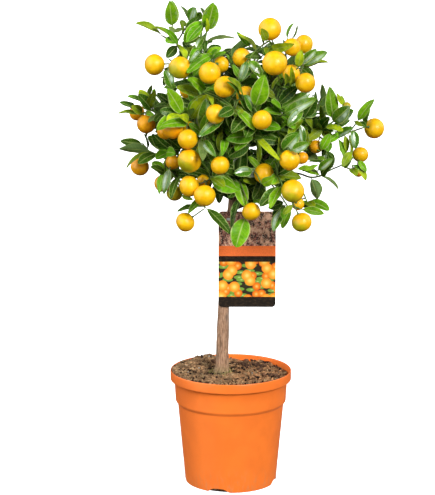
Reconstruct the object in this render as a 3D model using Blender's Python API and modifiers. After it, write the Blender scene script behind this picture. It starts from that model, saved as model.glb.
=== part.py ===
"""A potted citrus standard: a small tree with fruits in a plastic nursery pot, as separate closed solids.

Lengths in this file are in millimetres and are turned into metres when a mesh is made. +Z is up, -Y is
the front, and the origin is the middle of the pot's underside. The wood is one solid. Each leafy shoot, each
fruit or natural cluster of fruits, the soil, the pot, the hang tag and its strap are solids of their own.
"""

import math
import random
from dataclasses import dataclass, field

import bmesh
import bpy
from mathutils import Matrix, Vector
from mathutils.bvhtree import BVHTree

MM = 0.001
NAME = "potted_citrus_tree"
CLEARANCE = 0.35
WELD = 1e-6

# Nursery pot
POT_HEIGHT = 190.0
LIP_RADIUS = 100.0
LIP_FOOT_Z = 174.0
BAND_TOP_RADIUS = 93.5
BAND_FOOT_RADIUS = 91.5
BAND_FOOT_Z = 138.5
BODY_TOP_RADIUS = 87.8
BODY_TOP_Z = 134.0
FOOT_RADIUS = 75.5
WALL = 1.8
FLOOR = 2.5
EDGE_ROUND = 1.2
STEP_FALL = 0.6
POT_STEPS = 36
NOTCH_COUNT = 4
NOTCH_WIDTH = 31.0
NOTCH_HEIGHT = 5.0
NOTCH_DEPTH = 6.0
NOTCH_FIRST_ANGLE = -105.9

# Soil
SOIL_LEVEL = 181.5
SOIL_SWELL = 8.0
SOIL_STEPS = 26
SOIL_RINGS = (0.0, 26.0, 62.0, 96.0)

# Trunk: points of the axis and the radius at each. The first two lie in the soil
TRUNK = [
    ((-16, 0, 126), 10.5),
    ((-15, 0, 178), 11.8),
    ((-14.5, 0, 196), 10.4),
    ((-13.5, 0, 240), 10.0),
    ((-12, 0, 295), 8.8),
    ((-8.5, 0, 345), 8.5),
    ((-5, 0, 391), 8.3),
    ((-1, 0, 435), 8.0),
    ((3, 0, 474), 7.4),
    ((2, 0, 532), 6.2),
    ((3, 0, 572), 4.8),
]

# Hang tag and strap
TAG_LEFT_X = -20.5
TAG_RIGHT_X = 73.0
TAG_FOOT_Z = 298.0
TAG_TOP_Z = 457.0
TAG_BACK_Y = -9.2
TAG_THICKNESS = 0.8
TAG_CORNER = 6.0
STRAP_Z = 444.0
STRAP_HEIGHT = 4.4
STRAP_HALF_WIDTH = 11.5
STRAP_THICKNESS = 0.9
STRAP_STEPS = 32
SLOT_CLEARANCE = 0.5
TRUNK_RADIUS_AT_STRAP = 8.0

# Leaves and fruits
STEM_RADIUS = 1.8
TWIG_RADIUS = 1.3
STALK_RADIUS = 1.1
SEAT_SHARE = 0.9
SEAT_GAP = 0.3
SEAT_REACH = 4.5
STALK_GAP = 0.8
STEM_GAP = 1.2
FRUIT_GAP = 1.0
PUSH = 0.1
FOOT_RUN = 5.0
BASE_SHIFTS = (3.0, 6.0, 9.0)
STEM_OVERRUN = 2.5
TEST_MARGIN = 0.2
LEAF_MARGIN = 0.7
PETIOLE_HALF_WIDTH = 0.8
LEAF_HALF_THICKNESS = 0.3
LEAF_SHARES = (0.0, 0.38, 0.70)
LEAF_WIDTHS = (0.0, 1.0, 0.74)
LEAF_KEEL = 1.2
LEAF_ARCH = 0.09
FRUIT_FLATTENING = 0.94
CROWN_CENTRE = Vector((12, 0, 600))
CROWN_REACH = Vector((160, 188, 140))


@dataclass
class Leaf:
    """One leaf: where its petiole starts, where its tip is, which way its upper side faces, and its width."""

    base: Vector
    tip: Vector
    normal: Vector
    width: float


@dataclass
class Shoot:
    """A leafy shoot. Each twig is a list of points, and each leaf is hung on a twig's point.

    A leaf is (twig, point, offset of the tip, width, roll). At roll 0 the upper side faces the front, at
    90 it faces up or to the side, and from there to 180 the underside shows.
    """

    name: str
    twigs: list
    leaves: list
    wild: int = 1
    placed: list = field(default_factory=list)


# Limbs of the crown: points of the axis, first radius, last radius. Each ends where a shoot begins.
LIMBS = {
    "left_low": ([(2, 0, 484), (-30, -8, 520), (-55, -14, 545), (-75, -20, 560)], 5.0, 2.3),
    "back_low_left": ([(-30, -8, 520), (-42, 20, 522), (-45, 50, 530)], 3.5, 2.3),
    "right": ([(2, 0, 506), (35, -5, 530), (62, -5, 552), (95, -15, 590)], 5.0, 2.3),
    "right_fork": ([(1, 0, 460), (22, 6, 467), (38, 2, 482), (42, -14, 504), (45, -35, 515)], 5.0, 2.4),
    "right_low": ([(38, 2, 482), (56, -4, 502), (70, -15, 520)], 3.5, 2.3),
    "back_low_right": ([(38, 2, 482), (50, 25, 505), (60, 50, 525)], 3.5, 2.3),
    "front_low": ([(3, 0, 492), (4, -20, 494), (8, -40, 500)], 3.2, 2.2),
    "front_low_left": ([(2, 0, 530), (-10, -25, 524), (-20, -45, 520)], 3.2, 2.2),
    "left_back": ([(2, 0, 530), (-25, 5, 560), (-55, 14, 578), (-80, 26, 590)], 4.2, 2.3),
    "left_high": ([(-25, 5, 560), (-50, -10, 592), (-80, -25, 625)], 3.4, 2.3),
    "front_left": ([(3, 0, 566), (-5, -30, 570), (-20, -60, 575)], 3.5, 2.3),
    "front_high_left": ([(-5, -30, 570), (-28, -44, 594), (-50, -60, 612)], 3.0, 2.2),
    "front": ([(3, 0, 566), (14, -25, 580), (25, -60, 600)], 3.5, 2.3),
    "front_right": ([(14, -25, 580), (35, -34, 596), (55, -50, 610)], 3.0, 2.2),
    "leader_left": ([(3, 0, 568), (-10, -5, 610), (-20, -15, 640), (-30, -30, 665)], 4.5, 2.3),
    "top_left": ([(-10, -5, 610), (-36, -10, 650), (-62, -25, 690)], 3.5, 2.2),
    "back_high_left": ([(-10, -5, 610), (-32, 18, 638), (-60, 45, 660)], 3.4, 2.3),
    "leader_right": ([(3, 0, 568), (10, 5, 610), (20, -4, 640), (25, -20, 670)], 4.5, 2.3),
    "top_right": ([(10, 5, 610), (38, -5, 646), (75, -30, 680)], 3.5, 2.2),
    "back_high": ([(10, 5, 610), (10, 30, 642), (5, 60, 670)], 3.4, 2.3),
    "back_high_right": ([(10, 5, 610), (40, 26, 636), (75, 50, 665)], 3.4, 2.3),
    "back": ([(3, 0, 570), (8, 36, 582), (15, 80, 590)], 4.0, 2.3),
    "back_right": ([(62, -5, 552), (80, 14, 568), (100, 34, 590)], 3.4, 2.3),
}

SHOOTS = [
    Shoot(
        "shoot_top_left",
        [
            [(-62, -25, 690), (-78, -33, 716), (-87, -38, 732), (-93, -40, 757)],
            [(-87, -38, 732), (-108, -42, 743)],
            [(-87, -38, 732), (-78, -30, 746), (-67, -28, 764)],
            [(-78, -33, 716), (-95, -50, 702)],
        ],
        [
            (0, 3, (-4, -18, 43), 21, 15),
            (1, 1, (-43, -8, 21), 22, 74),
            (0, 2, (-34, -18, 27), 20, 68),
            (0, 2, (-16, -36, 4), 18, 60),
            (0, 1, (-2, -38, -8), 18, 50),
            (0, 2, (14, -30, -26), 18, 58),
            (2, 2, (8, -15, 25), 15, 45),
            (2, 2, (-14, 12, 25), 16, 68),
            (2, 1, (-4, -14, 20), 12, 60),
            (3, 1, (-2, -15, -36), 17, 45),
        ],
    ),
    Shoot(
        "shoot_top_centre",
        [
            [(-30, -30, 665), (-38, -45, 690), (-43, -50, 714), (-42, -49, 735), (-39, -45, 750)],
            [(-39, -45, 750), (-43, -47, 764)],
            [(-43, -50, 714), (-30, -62, 710)],
        ],
        [
            (0, 4, (11, -6, 47), 21, 20),
            (1, 1, (-6, 12, 24), 14, 75),
            (1, 1, (-27, -25, -28), 18, 45),
            (0, 3, (48, -12, 6), 20, 72),
            (2, 1, (-30, -20, -26), 20, 20),
            (2, 1, (22, -12, 10), 13, 60),
            (2, 1, (8, -28, 16), 15, 62),
            (0, 3, (-22, -26, -32), 17, 40),
            (0, 2, (-20, -26, -24), 15, 50),
        ],
    ),
    Shoot(
        "shoot_top_middle",
        [
            [(25, -20, 670), (34, -35, 695), (40, -45, 716), (49, -50, 724), (64, -54, 726)],
        ],
        [
            (0, 2, (-30, -8, 31), 20, 72),
            (0, 1, (-3, 15, 40), 17, 75),
            (0, 3, (-6, -10, 34), 15, 74),
            (0, 4, (46, -14, 8), 19, 70),
            (0, 4, (-10, -30, -8), 14, 50),
            (0, 1, (-24, -28, -24), 19, 40),
            (0, 1, (13, -35, -16), 18, 40),
            (0, 1, (-30, -8, -10), 16, 40),
        ],
    ),
    Shoot(
        "shoot_top_right",
        [
            [(75, -30, 680), (92, -48, 688), (108, -58, 694), (114, -60, 703)],
            [(92, -48, 688), (86, -42, 714), (88, -38, 738)],
        ],
        [
            (0, 3, (24, -18, 26), 18, 45),
            (0, 3, (34, -8, 12), 18, 72),
            (0, 2, (-5, -14, 28), 16, 40),
            (1, 1, (-4, -14, 24), 15, 140),
            (0, 1, (6, -26, -28), 14, 60),
            (0, 1, (-14, -32, -16), 14, 60),
            (0, 2, (14, -28, -10), 13, 45),
            (1, 2, (0, -6, 27), 13, 80),
            (1, 2, (11, 8, 25), 13, 80),
        ],
    ),
    Shoot(
        "shoot_right_high",
        [
            [(55, -50, 610), (66, -75, 613), (79, -92, 624), (98, -98, 624), (113, -96, 620)],
            [(66, -75, 613), (74, -98, 594), (83, -112, 575)],
            [(79, -92, 624), (70, -92, 645), (76, -94, 668)],
        ],
        [
            (0, 2, (53, -25, 29), 20, 35),
            (0, 4, (20, -4, 34), 21, 20),
            (0, 4, (-25, -24, -24), 16, 50),
            (0, 1, (36, -28, -4), 18, 60),
            (1, 2, (21, -14, 26), 22, 15),
            (1, 1, (20, -30, -8), 16, 60),
            (1, 1, (4, -26, -34), 17, 70),
            (2, 2, (22, -12, 18), 15, 60),
            (2, 1, (-26, -16, 10), 15, 50),
        ],
    ),
    Shoot(
        "shoot_right",
        [
            [(95, -15, 590), (120, -34, 592), (146, -50, 600), (162, -55, 610), (178, -55, 624)],
            [(120, -34, 592), (146, -44, 581), (166, -47, 582), (186, -42, 590), (200, -38, 606)],
            [(186, -42, 590), (204, -36, 595), (214, -33, 598)],
        ],
        [
            (0, 3, (-8, -8, 56), 22, 15),
            (0, 2, (-6, -15, 36), 18, 73),
            (0, 4, (-4, 10, 26), 14, 76),
            (0, 3, (30, -22, 20), 22, 15),
            (1, 2, (26, -20, 18), 17, 50),
            (0, 2, (30, -25, -3), 15, 65),
            (0, 2, (8, -26, 16), 14, 50),
            (0, 1, (11, -30, -20), 16, 45),
            (0, 1, (-16, -30, -30), 18, 40),
            (1, 1, (8, -24, -18), 17, 40),
            (1, 2, (16, -6, -42), 18, 60),
            (1, 4, (27, -8, 38), 18, 40),
            (1, 3, (2, -14, -40), 17, 62),
            (1, 4, (14, -10, -6), 11, 50),
            (2, 2, (3, -5, 26), 14, 65),
        ],
    ),
    Shoot(
        "shoot_left_high",
        [
            [(-80, -25, 625), (-105, -38, 619), (-127, -44, 626), (-137, -45, 636)],
            [(-127, -44, 626), (-144, -40, 619)],
        ],
        [
            (0, 3, (-28, -8, 13), 18, 74),
            (0, 2, (-20, -24, 28), 18, 40),
            (0, 2, (7, -18, 36), 18, 58),
            (0, 1, (-26, -28, -10), 17, 60),
            (1, 1, (-34, -8, 20), 17, 73),
            (1, 1, (-36, -12, 3), 18, 70),
            (0, 2, (-14, -20, 10), 14, 40),
        ],
    ),
    Shoot(
        "shoot_left_front",
        [
            [(-50, -60, 612), (-64, -88, 616), (-76, -104, 626), (-92, -112, 634)],
            [(-50, -60, 612), (-54, -74, 638), (-48, -84, 654), (-41, -88, 662)],
        ],
        [
            (0, 2, (-24, -20, 44), 22, 20),
            (0, 1, (26, -30, 44), 22, 20),
            (0, 2, (-46, -20, -20), 20, 52),
            (0, 2, (-24, -34, -6), 16, 60),
            (0, 3, (-6, 6, 30), 16, 60),
            (1, 2, (-38, -10, 14), 18, 40),
            (1, 3, (-28, -22, 20), 18, 45),
            (1, 3, (10, -30, -18), 13, 50),
        ],
    ),
    Shoot(
        "shoot_left_low",
        [
            [(-75, -20, 560), (-100, -35, 556), (-120, -42, 556), (-134, -42, 562)],
            [(-100, -35, 556), (-105, -48, 540), (-106, -54, 526)],
            [(-105, -48, 540), (-88, -60, 518)],
        ],
        [
            (0, 3, (-47, -10, 4), 22, 150),
            (0, 3, (-6, 8, 26), 13, 78),
            (0, 3, (-33, -18, -27), 18, 65),
            (0, 2, (-28, -28, -12), 18, 48),
            (0, 1, (-20, -32, -5), 18, 50),
            (0, 1, (16, -32, 4), 17, 40),
            (1, 2, (-22, -24, 14), 16, 45),
            (1, 2, (-3, -12, -35), 16, 62),
            (2, 1, (2, -15, -38), 17, 50),
        ],
    ),
    Shoot(
        "shoot_centre_left",
        [
            [(-20, -60, 575), (-35, -84, 586), (-44, -96, 593)],
            [(-20, -60, 575), (-12, -88, 606), (-10, -104, 638)],
            [(-10, -104, 638), (4, -136, 640)],
        ],
        [
            (0, 2, (5, -20, 60), 24, 10),
            (0, 2, (35, -30, 33), 18, 48),
            (0, 2, (-13, -32, -30), 17, 50),
            (0, 1, (14, -36, -24), 17, 50),
            (1, 2, (15, -18, -44), 22, 20),
            (2, 1, (-24, -28, 40), 13, 76),
            (1, 1, (-4, -32, -36), 15, 60),
        ],
    ),
    Shoot(
        "shoot_centre",
        [
            [(25, -60, 600), (32, -84, 614), (33, -112, 628), (34, -130, 640)],
            [(32, -84, 614), (37, -98, 592)],
            [(33, -84, 614), (52, -88, 640), (62, -86, 662)],
        ],
        [
            (0, 3, (16, -20, 54), 27, 5),
            (0, 2, (-14, -34, 34), 17, 50),
            (1, 1, (-46, -30, 0), 22, 15),
            (1, 1, (12, -34, 2), 14, 40),
            (1, 1, (4, -26, -38), 16, 65),
            (2, 2, (20, -16, 22), 14, 60),
            (2, 1, (-24, -18, 24), 15, 50),
        ],
    ),
    Shoot(
        "shoot_low_left",
        [
            [(-20, -45, 520), (-29, -76, 520), (-32, -98, 526)],
            [(-29, -76, 520), (-38, -86, 498), (-42, -88, 478)],
        ],
        [
            (0, 2, (41, -26, -16), 24, 10),
            (0, 2, (20, -34, -20), 17, 45),
            (0, 1, (-48, -6, 20), 18, 50),
            (1, 2, (41, -22, -40), 18, 45),
            (1, 2, (-44, -10, -6), 15, 76),
            (1, 1, (-30, -20, -28), 17, 50),
        ],
    ),
    Shoot(
        "shoot_low_centre",
        [
            [(8, -40, 500), (12, -70, 516), (11, -84, 524)],
            [(12, -70, 516), (15, -92, 497), (20, -98, 478), (23, -100, 465)],
        ],
        [
            (0, 2, (11, -26, -36), 22, 15),
            (0, 2, (22, -18, 36), 21, 30),
            (0, 1, (-28, -20, 30), 20, 40),
            (1, 1, (-14, -16, -54), 18, 52),
            (1, 3, (-16, -14, -47), 28, 10),
        ],
    ),
    Shoot(
        "shoot_low_right_centre",
        [
            [(45, -35, 515), (50, -72, 527), (73, -108, 529), (80, -112, 514)],
            [(50, -72, 527), (74, -80, 500), (88, -92, 481)],
        ],
        [
            (0, 1, (-43, -34, 6), 19, 45),
            (0, 2, (-26, -24, -6), 18, 40),
            (0, 3, (-36, -20, -28), 21, 30),
            (0, 3, (-18, -26, -34), 18, 40),
            (1, 2, (-22, -20, -38), 18, 48),
            (1, 2, (-6, -28, -18), 15, 40),
            (1, 1, (20, -24, 24), 17, 50),
        ],
    ),
    Shoot(
        "shoot_low_right",
        [
            [(70, -15, 520), (95, -45, 526), (110, -58, 526), (126, -60, 521), (142, -58, 523),
             (156, -55, 531), (176, -50, 539)],
            [(176, -50, 539), (190, -45, 532), (200, -42, 535)],
            [(95, -45, 526), (112, -62, 502), (120, -74, 484)],
        ],
        [
            (0, 4, (-38, -30, 15), 18, 58),
            (0, 3, (11, -26, -30), 21, 160),
            (0, 4, (28, -12, -20), 16, 75),
            (0, 4, (17, -26, 24), 18, 45),
            (0, 5, (-4, -20, 30), 17, 40),
            (0, 5, (-34, -16, 17), 15, 76),
            (0, 6, (14, -26, 14), 16, 30),
            (0, 6, (20, 6, 12), 14, 50),
            (1, 2, (14, -16, -20), 13, 50),
            (1, 1, (8, -22, -8), 13, 40),
            (2, 2, (10, -30, -4), 15, 50),
            (2, 2, (34, -24, -10), 18, 48),
            (0, 1, (-20, -24, -16), 18, 35),
        ],
    ),
    Shoot(
        "shoot_back_high_left",
        [
            [(-60, 45, 660), (-78, 62, 676), (-92, 80, 688), (-102, 94, 694)],
            [(-78, 62, 676), (-62, 90, 690)],
        ],
        [],
        11,
    ),
    Shoot(
        "shoot_back_high",
        [
            [(5, 60, 670), (2, 78, 688), (0, 94, 702), (4, 104, 712)],
            [(2, 78, 688), (-22, 100, 694)],
        ],
        [],
        11,
    ),
    Shoot(
        "shoot_back_high_right",
        [
            [(75, 50, 665), (92, 66, 678), (106, 84, 688), (116, 98, 694)],
            [(92, 66, 678), (74, 98, 690)],
        ],
        [],
        11,
    ),
    Shoot(
        "shoot_back_left",
        [
            [(-80, 26, 590), (-102, 32, 600), (-120, 38, 608), (-130, 40, 620)],
            [(-102, 32, 600), (-104, 66, 606)],
        ],
        [],
        11,
    ),
    Shoot(
        "shoot_back",
        [
            [(15, 80, 590), (14, 108, 604), (16, 132, 618), (20, 150, 624)],
            [(14, 108, 604), (-22, 130, 610)],
        ],
        [],
        11,
    ),
    Shoot(
        "shoot_back_right",
        [
            [(100, 34, 590), (118, 42, 600), (134, 48, 608), (146, 50, 618)],
            [(118, 42, 600), (118, 78, 608)],
        ],
        [],
        11,
    ),
    Shoot(
        "shoot_back_low_left",
        [
            [(-45, 50, 530), (-60, 72, 524), (-74, 92, 520), (-84, 108, 516)],
            [(-60, 72, 524), (-32, 100, 518)],
        ],
        [],
        11,
    ),
    Shoot(
        "shoot_back_low_right",
        [
            [(60, 50, 525), (76, 70, 522), (92, 88, 520), (106, 102, 514)],
            [(76, 70, 522), (48, 98, 510)],
        ],
        [],
        11,
    ),
]

# Fruits: one list for each fruit or cluster that grew on one stalk, each fruit as (x, y, z, radius)
FRUITS = [
    [(-121, -60, 700, 17)],
    [(-80, -110, 700, 17.4)],
    [(-34, -120, 693, 17), (-19, -60, 702, 13)],
    [(-11, -150, 675, 17), (22, -116, 657, 15.5)],
    [(16, -70, 712, 15)],
    [(59, -90, 758, 18)],
    [(65, -150, 711, 19)],
    [(93, -100, 731, 14), (113, -70, 733, 15)],
    [(92, -110, 691, 14), (113, -132, 679, 15.5)],
    [(-137, -40, 607, 15), (-152, 0, 617, 13)],
    [(-92, -112, 606, 17), (-105, -68, 596, 13)],
    [(-68, -140, 593, 15.5), (-66, -84, 602, 12)],
    [(-66, -135, 564, 18.5)],
    [(46, -150, 624, 15.5)],
    [(-25, -140, 632, 15.5)],
    [(-18, -150, 554, 14.5)],
    [(54, -104, 533, 16)],
    [(89, -150, 562, 16), (111, -100, 558, 9.5)],
    [(134, -60, 570, 11)],
    [(229, -20, 594, 16.5)],
    [(207, -30, 553, 13), (205, -20, 524, 9)],
    [(-147, -20, 532, 15)],
    [(-110, -50, 510, 13.5), (-90, -70, 497, 13)],
    [(-66, -112, 515, 16.5), (-42, -135, 504, 17), (-44, -88, 519, 10.5)],
    [(-93, -60, 545, 11.5)],
    [(-73, -90, 454, 15.5)],
    [(29, -110, 475, 14.5)],
    [(94.5, -140, 512, 18), (105, -90, 483, 10), (110, -112, 458, 16)],
    [(182, -60, 635, 6.5)],
    [(-70, 118, 640, 16), (-62, 128, 676, 15)],
    [(52, 132, 642, 16), (78, 128, 676, 15)],
    [(-48, 140, 560, 16), (60, 140, 566, 15)],
]

MATERIALS = {
    "pot_plastic": ((1.0, 0.21, 0.02), 0.42),
    "potting_soil": ((0.045, 0.025, 0.015), 0.95),
    "bark": ((0.22, 0.15, 0.10), 0.85),
    "leaf": ((0.07, 0.24, 0.02), 0.4),
    "fruit_peel": ((0.95, 0.45, 0.02), 0.35),
    "tag_card": ((0.16, 0.05, 0.03), 0.35),
    "strap_plastic": ((0.03, 0.05, 0.03), 0.45),
}


def collection(name):
    """A new collection of the scene."""
    made = bpy.data.collections.new(name)
    bpy.context.scene.collection.children.link(made)
    return made


def material(name):
    """A Principled material from the table."""
    colour, roughness = MATERIALS[name]
    made = bpy.data.materials.get(name)
    if made is None:
        made = bpy.data.materials.new(name)
        made.use_nodes = True
        surface = made.node_tree.nodes["Principled BSDF"]
        surface.inputs["Base Color"].default_value = (*colour, 1.0)
        surface.inputs["Roughness"].default_value = roughness
        surface.inputs["Metallic"].default_value = 0.0
        made.diffuse_color = (*colour, 1.0)
    return made


def add_object(name, mesh, finish=None):
    """An object in the parts' collection."""
    made = bpy.data.objects.new(name, mesh)
    bpy.data.collections[NAME].objects.link(made)
    if finish:
        mesh.materials.clear()
        mesh.materials.append(material(finish))
    return made


def add_helper(name, mesh, group):
    """An object that a Boolean uses. It isn't part of the model."""
    made = bpy.data.objects.new(name, mesh)
    group.objects.link(made)
    made.hide_render = True
    made.display_type = "WIRE"
    return made


def helper_group(name):
    """A collection for a Boolean's operands, inside the cutters' collection."""
    made = bpy.data.collections.new(name)
    bpy.data.collections["cutters"].children.link(made)
    return made


def add_booleans(wanted):
    """An exact Boolean of each target with every object of its group."""
    for target, group, operation in wanted:
        cut = target.modifiers.new(operation.lower(), "BOOLEAN")
        cut.operation = operation
        cut.solver = "EXACT"
        cut.operand_type = "COLLECTION"
        cut.collection = group


def evaluated_mesh(temporary):
    """The mesh of an object with its modifiers or bevel applied. The object is removed."""
    graph = bpy.context.evaluated_depsgraph_get()
    mesh = bpy.data.meshes.new_from_object(temporary.evaluated_get(graph))
    data = temporary.data
    bpy.data.objects.remove(temporary)
    if isinstance(data, bpy.types.Curve):
        bpy.data.curves.remove(data)
    return mesh


def tube_mesh(name, points, radii, resolution=0):
    """A closed round tube through points, with a radius at each, as a welded mesh."""
    curve = bpy.data.curves.new(name, "CURVE")
    curve.dimensions = "3D"
    curve.bevel_depth = MM
    curve.bevel_resolution = resolution
    curve.use_fill_caps = True
    spline = curve.splines.new("POLY")
    spline.points.add(len(points) - 1)
    for knot, point, radius in zip(spline.points, points, radii):
        knot.co = (*(Vector(point) * MM), 1.0)
        knot.radius = radius
    temporary = bpy.data.objects.new(name, curve)
    bpy.context.scene.collection.objects.link(temporary)
    mesh = evaluated_mesh(temporary)
    shape = bmesh.new()
    shape.from_mesh(mesh)
    bmesh.ops.remove_doubles(shape, verts=shape.verts, dist=WELD)
    bmesh.ops.recalc_face_normals(shape, faces=shape.faces)
    shape.to_mesh(mesh)
    shape.free()
    mesh.name = name
    return mesh


def turned(name, profile, steps):
    """A mesh turned about Z from a profile of (radius, height) points at +X."""
    mesh = bpy.data.meshes.new(name)
    edges = [(i, i + 1) for i in range(len(profile) - 1)]
    mesh.from_pydata([(r * MM, 0, z * MM) for r, z in profile], edges, [])
    temporary = bpy.data.objects.new(name, mesh)
    bpy.context.scene.collection.objects.link(temporary)
    screw = temporary.modifiers.new("turn", "SCREW")
    screw.steps = steps
    screw.render_steps = steps
    screw.use_merge_vertices = True
    screw.merge_threshold = 10 * WELD
    return evaluated_mesh(temporary)


def straight_run(start, end, share):
    """The point at a share of the way from start to end."""
    return start + (end - start) * share


# Shapes of the foliage


def leaf_shape(leaf, grow=0.0, first=0.0):
    """Points and faces of a leaf: three-sided sections with a flat top and a keel, from petiole to tip.

    grow swells it by that many millimetres, and first leaves off the part nearer the stem than that share.
    """
    axis = leaf.tip - leaf.base
    length = axis.length
    along = axis.normalized()
    across = along.cross(leaf.normal).normalized()
    normal = across.cross(along).normalized()
    points = []
    for share, width in zip(LEAF_SHARES, LEAF_WIDTHS):
        share = first + share * (1.0 - first)
        rise = LEAF_ARCH * length * 4 * share * (1 - share)
        middle = leaf.base + along * (length * share) + normal * rise
        half = max(PETIOLE_HALF_WIDTH, width * leaf.width / 2) + grow
        points.append(middle + across * half + normal * (LEAF_HALF_THICKNESS + grow))
        points.append(middle - across * half + normal * (LEAF_HALF_THICKNESS + grow))
        points.append(middle - normal * (LEAF_KEEL + grow))
    points.append(leaf.tip + along * grow)
    faces = [(2, 1, 0)]
    count = len(LEAF_SHARES)
    for ring in range(count - 1):
        low, high = 3 * ring, 3 * ring + 3
        for i in range(3):
            k = (i + 1) % 3
            faces.append((low + i, low + k, high + k, high + i))
    last = 3 * (count - 1)
    for i in range(3):
        faces.append((last + i, last + (i + 1) % 3, 3 * count))
    return points, faces


def leaf_mesh(name, leaf):
    """The closed solid of a leaf."""
    points, faces = leaf_shape(leaf)
    mesh = bpy.data.meshes.new(name)
    mesh.from_pydata([p * MM for p in points], [], faces)
    shape = bmesh.new()
    shape.from_mesh(mesh)
    bmesh.ops.triangulate(shape, faces=shape.faces)
    bmesh.ops.recalc_face_normals(shape, faces=shape.faces)
    shape.to_mesh(mesh)
    shape.free()
    return mesh


def leaf_normal(along, roll):
    """Which way the upper side faces. See Shoot."""
    front = Vector((0, -1, 0))
    if abs(along.dot(front)) > 0.97:
        front = Vector((0, 0, 1))
    face = (front - along * front.dot(along)).normalized()
    side = along.cross(face)
    if side.z < -0.05 or (abs(side.z) <= 0.05 and side.x < 0):
        side = -side
    angle = math.radians(roll)
    return face * math.cos(angle) + side * math.sin(angle)


def prism(start, end, radius):
    """Points and faces of a six-sided bar, used to test whether things touch."""
    axis = (end - start).normalized()
    side = axis.orthogonal().normalized()
    other = axis.cross(side)
    points, faces = [], []
    for centre in (start, end):
        for i in range(6):
            angle = math.radians(60 * i)
            points.append(centre + (side * math.cos(angle) + other * math.sin(angle)) * radius)
    for i in range(6):
        k = (i + 1) % 6
        faces.append((i, k, 6 + k, 6 + i))
    faces.append(tuple(range(6)))
    faces.append(tuple(range(6, 12)))
    return points, faces


def ball(centre, radius):
    """Points and faces of a ball, used to test whether things touch."""
    shape = bmesh.new()
    bmesh.ops.create_icosphere(shape, subdivisions=2, radius=radius, matrix=Matrix.Translation(centre))
    points = [v.co.copy() for v in shape.verts]
    faces = [tuple(v.index for v in f.verts) for f in shape.faces]
    shape.free()
    return points, faces


class Space:
    """What already stands in the crown. It tells whether a new shape would touch any of it."""

    def __init__(self):
        self.things = []

    def add(self, owner, shape):
        points, faces = shape
        centre = sum(points, Vector()) / len(points)
        reach = max((p - centre).length for p in points)
        self.things.append((owner, BVHTree.FromPolygons(points, faces), centre, reach))

    def touches(self, shape, own, owner):
        """True if shape touches another's thing, or own, its part away from the stem, touches the owner's."""
        points, faces = shape
        centre = sum(points, Vector()) / len(points)
        reach = max((p - centre).length for p in points)
        whole = BVHTree.FromPolygons(points, faces)
        blade = BVHTree.FromPolygons(*own)
        for other, tree, middle, size in self.things:
            if (middle - centre).length > reach + size:
                continue
            if (blade if other == owner else whole).overlap(tree):
                return True
        return False


NUDGES = [(0, 0, 1.0)] + [
    (turn, tilt, scale)
    for scale in (1.0, 0.88, 0.76)
    for size in (8, 16, 26, 38)
    for turn, tilt in ((size, 0), (-size, 0), (0, size), (0, -size), (size, size), (-size, -size))
]


def in_crown(point):
    """True inside the clipped round outline that the tree is kept to."""
    offset = point - CROWN_CENTRE
    return sum((offset[i] / CROWN_REACH[i]) ** 2 for i in range(3)) < 1.0


def place_leaf(space, owner, bases, tip, normal, width, clipped=False):
    """Adds a leaf where it touches nothing: as given, turned a little, or shorter. None if there's no room.

    Its petiole starts at the first of the bases that lets it. A clipped leaf stays inside the outline.
    """
    across = (tip - bases[0]).cross(normal).normalized()
    for turn, tilt, scale in NUDGES:
        spin = Matrix.Rotation(math.radians(turn), 3, "Z") @ Matrix.Rotation(math.radians(tilt), 3, across)
        for base in bases:
            reach = spin @ (tip - base) * scale
            leaf = Leaf(base, base + reach, spin @ normal, width * (0.5 + 0.5 * scale))
            if clipped and not in_crown(leaf.tip):
                continue
            blade = leaf_shape(leaf, LEAF_MARGIN, 0.3)
            if not space.touches(leaf_shape(leaf, LEAF_MARGIN), blade, owner):
                space.add(owner, leaf_shape(leaf, TEST_MARGIN))
                return leaf
    return None


def bases_near(points, index):
    """A twig's point, and points a little way along it on both sides, where a petiole may start."""
    here = points[index]
    bases = [here]
    for shift in BASE_SHIFTS:
        for other in points[max(0, index - 1) : index] + points[index + 1 : index + 2]:
            if (other - here).length > shift:
                bases.append(here + (other - here).normalized() * shift)
    return bases


def wild_leaf(points, index, rng):
    """Bases, tip, normal and width of a leaf that grows by rule, by the golden angle round the stem."""
    run = rng.uniform(0.25, 1.0) + index % (len(points) - 1)
    step = min(int(run), len(points) - 2)
    start, end = points[step], points[step + 1]
    base = straight_run(start, end, min(run - step, 1.0))
    stem = (end - start).normalized()
    outward = (base - CROWN_CENTRE).normalized()
    side = stem.orthogonal().normalized()
    angle = math.radians(137.5 * index)
    round_stem = Matrix.Rotation(angle, 3, stem) @ side
    along = (stem * 0.5 + round_stem * 0.9 + outward * 0.5 + Vector((0, 0, 0.1))).normalized()
    length = rng.uniform(40, 58)
    hint = (Vector((0, 0, 0.8)) + outward * 0.7 + Vector((rng.uniform(-0.5, 0.5), rng.uniform(-0.5, 0.5), 0)))
    normal = (hint - along * hint.dot(along)).normalized()
    return [base], base + along * length, normal, length * rng.uniform(0.36, 0.44)


# Skeleton: every limb, stem and twig as straight runs


def limb_runs(points, first, last):
    """(start, end, radius at start, radius at end) along a tapering limb."""
    count = len(points) - 1
    radii = [first + (last - first) * i / count for i in range(count + 1)]
    return [(Vector(points[i]), Vector(points[i + 1]), radii[i], radii[i + 1]) for i in range(count)]


def limb_ends():
    """For each shoot's foot, the direction in which its limb ends."""
    ends = {}
    for points, _, _ in LIMBS.values():
        ends[tuple(points[-1])] = (Vector(points[-1]) - Vector(points[-2])).normalized()
    return ends


def stem_points(twig, main, ends):
    """A twig's points. The main stem starts just past its limb's end, and a twig ends past its last leaf."""
    points = [Vector(p) for p in twig]
    foot = tuple(twig[0])
    if foot in ends:
        points[0] += ends[foot] * FOOT_RUN
    if main:
        points.insert(0, Vector(foot) + ends[foot] * CLEARANCE)
    points.append(points[-1] + (points[-1] - points[-2]).normalized() * STEM_OVERRUN)
    return points


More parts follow.
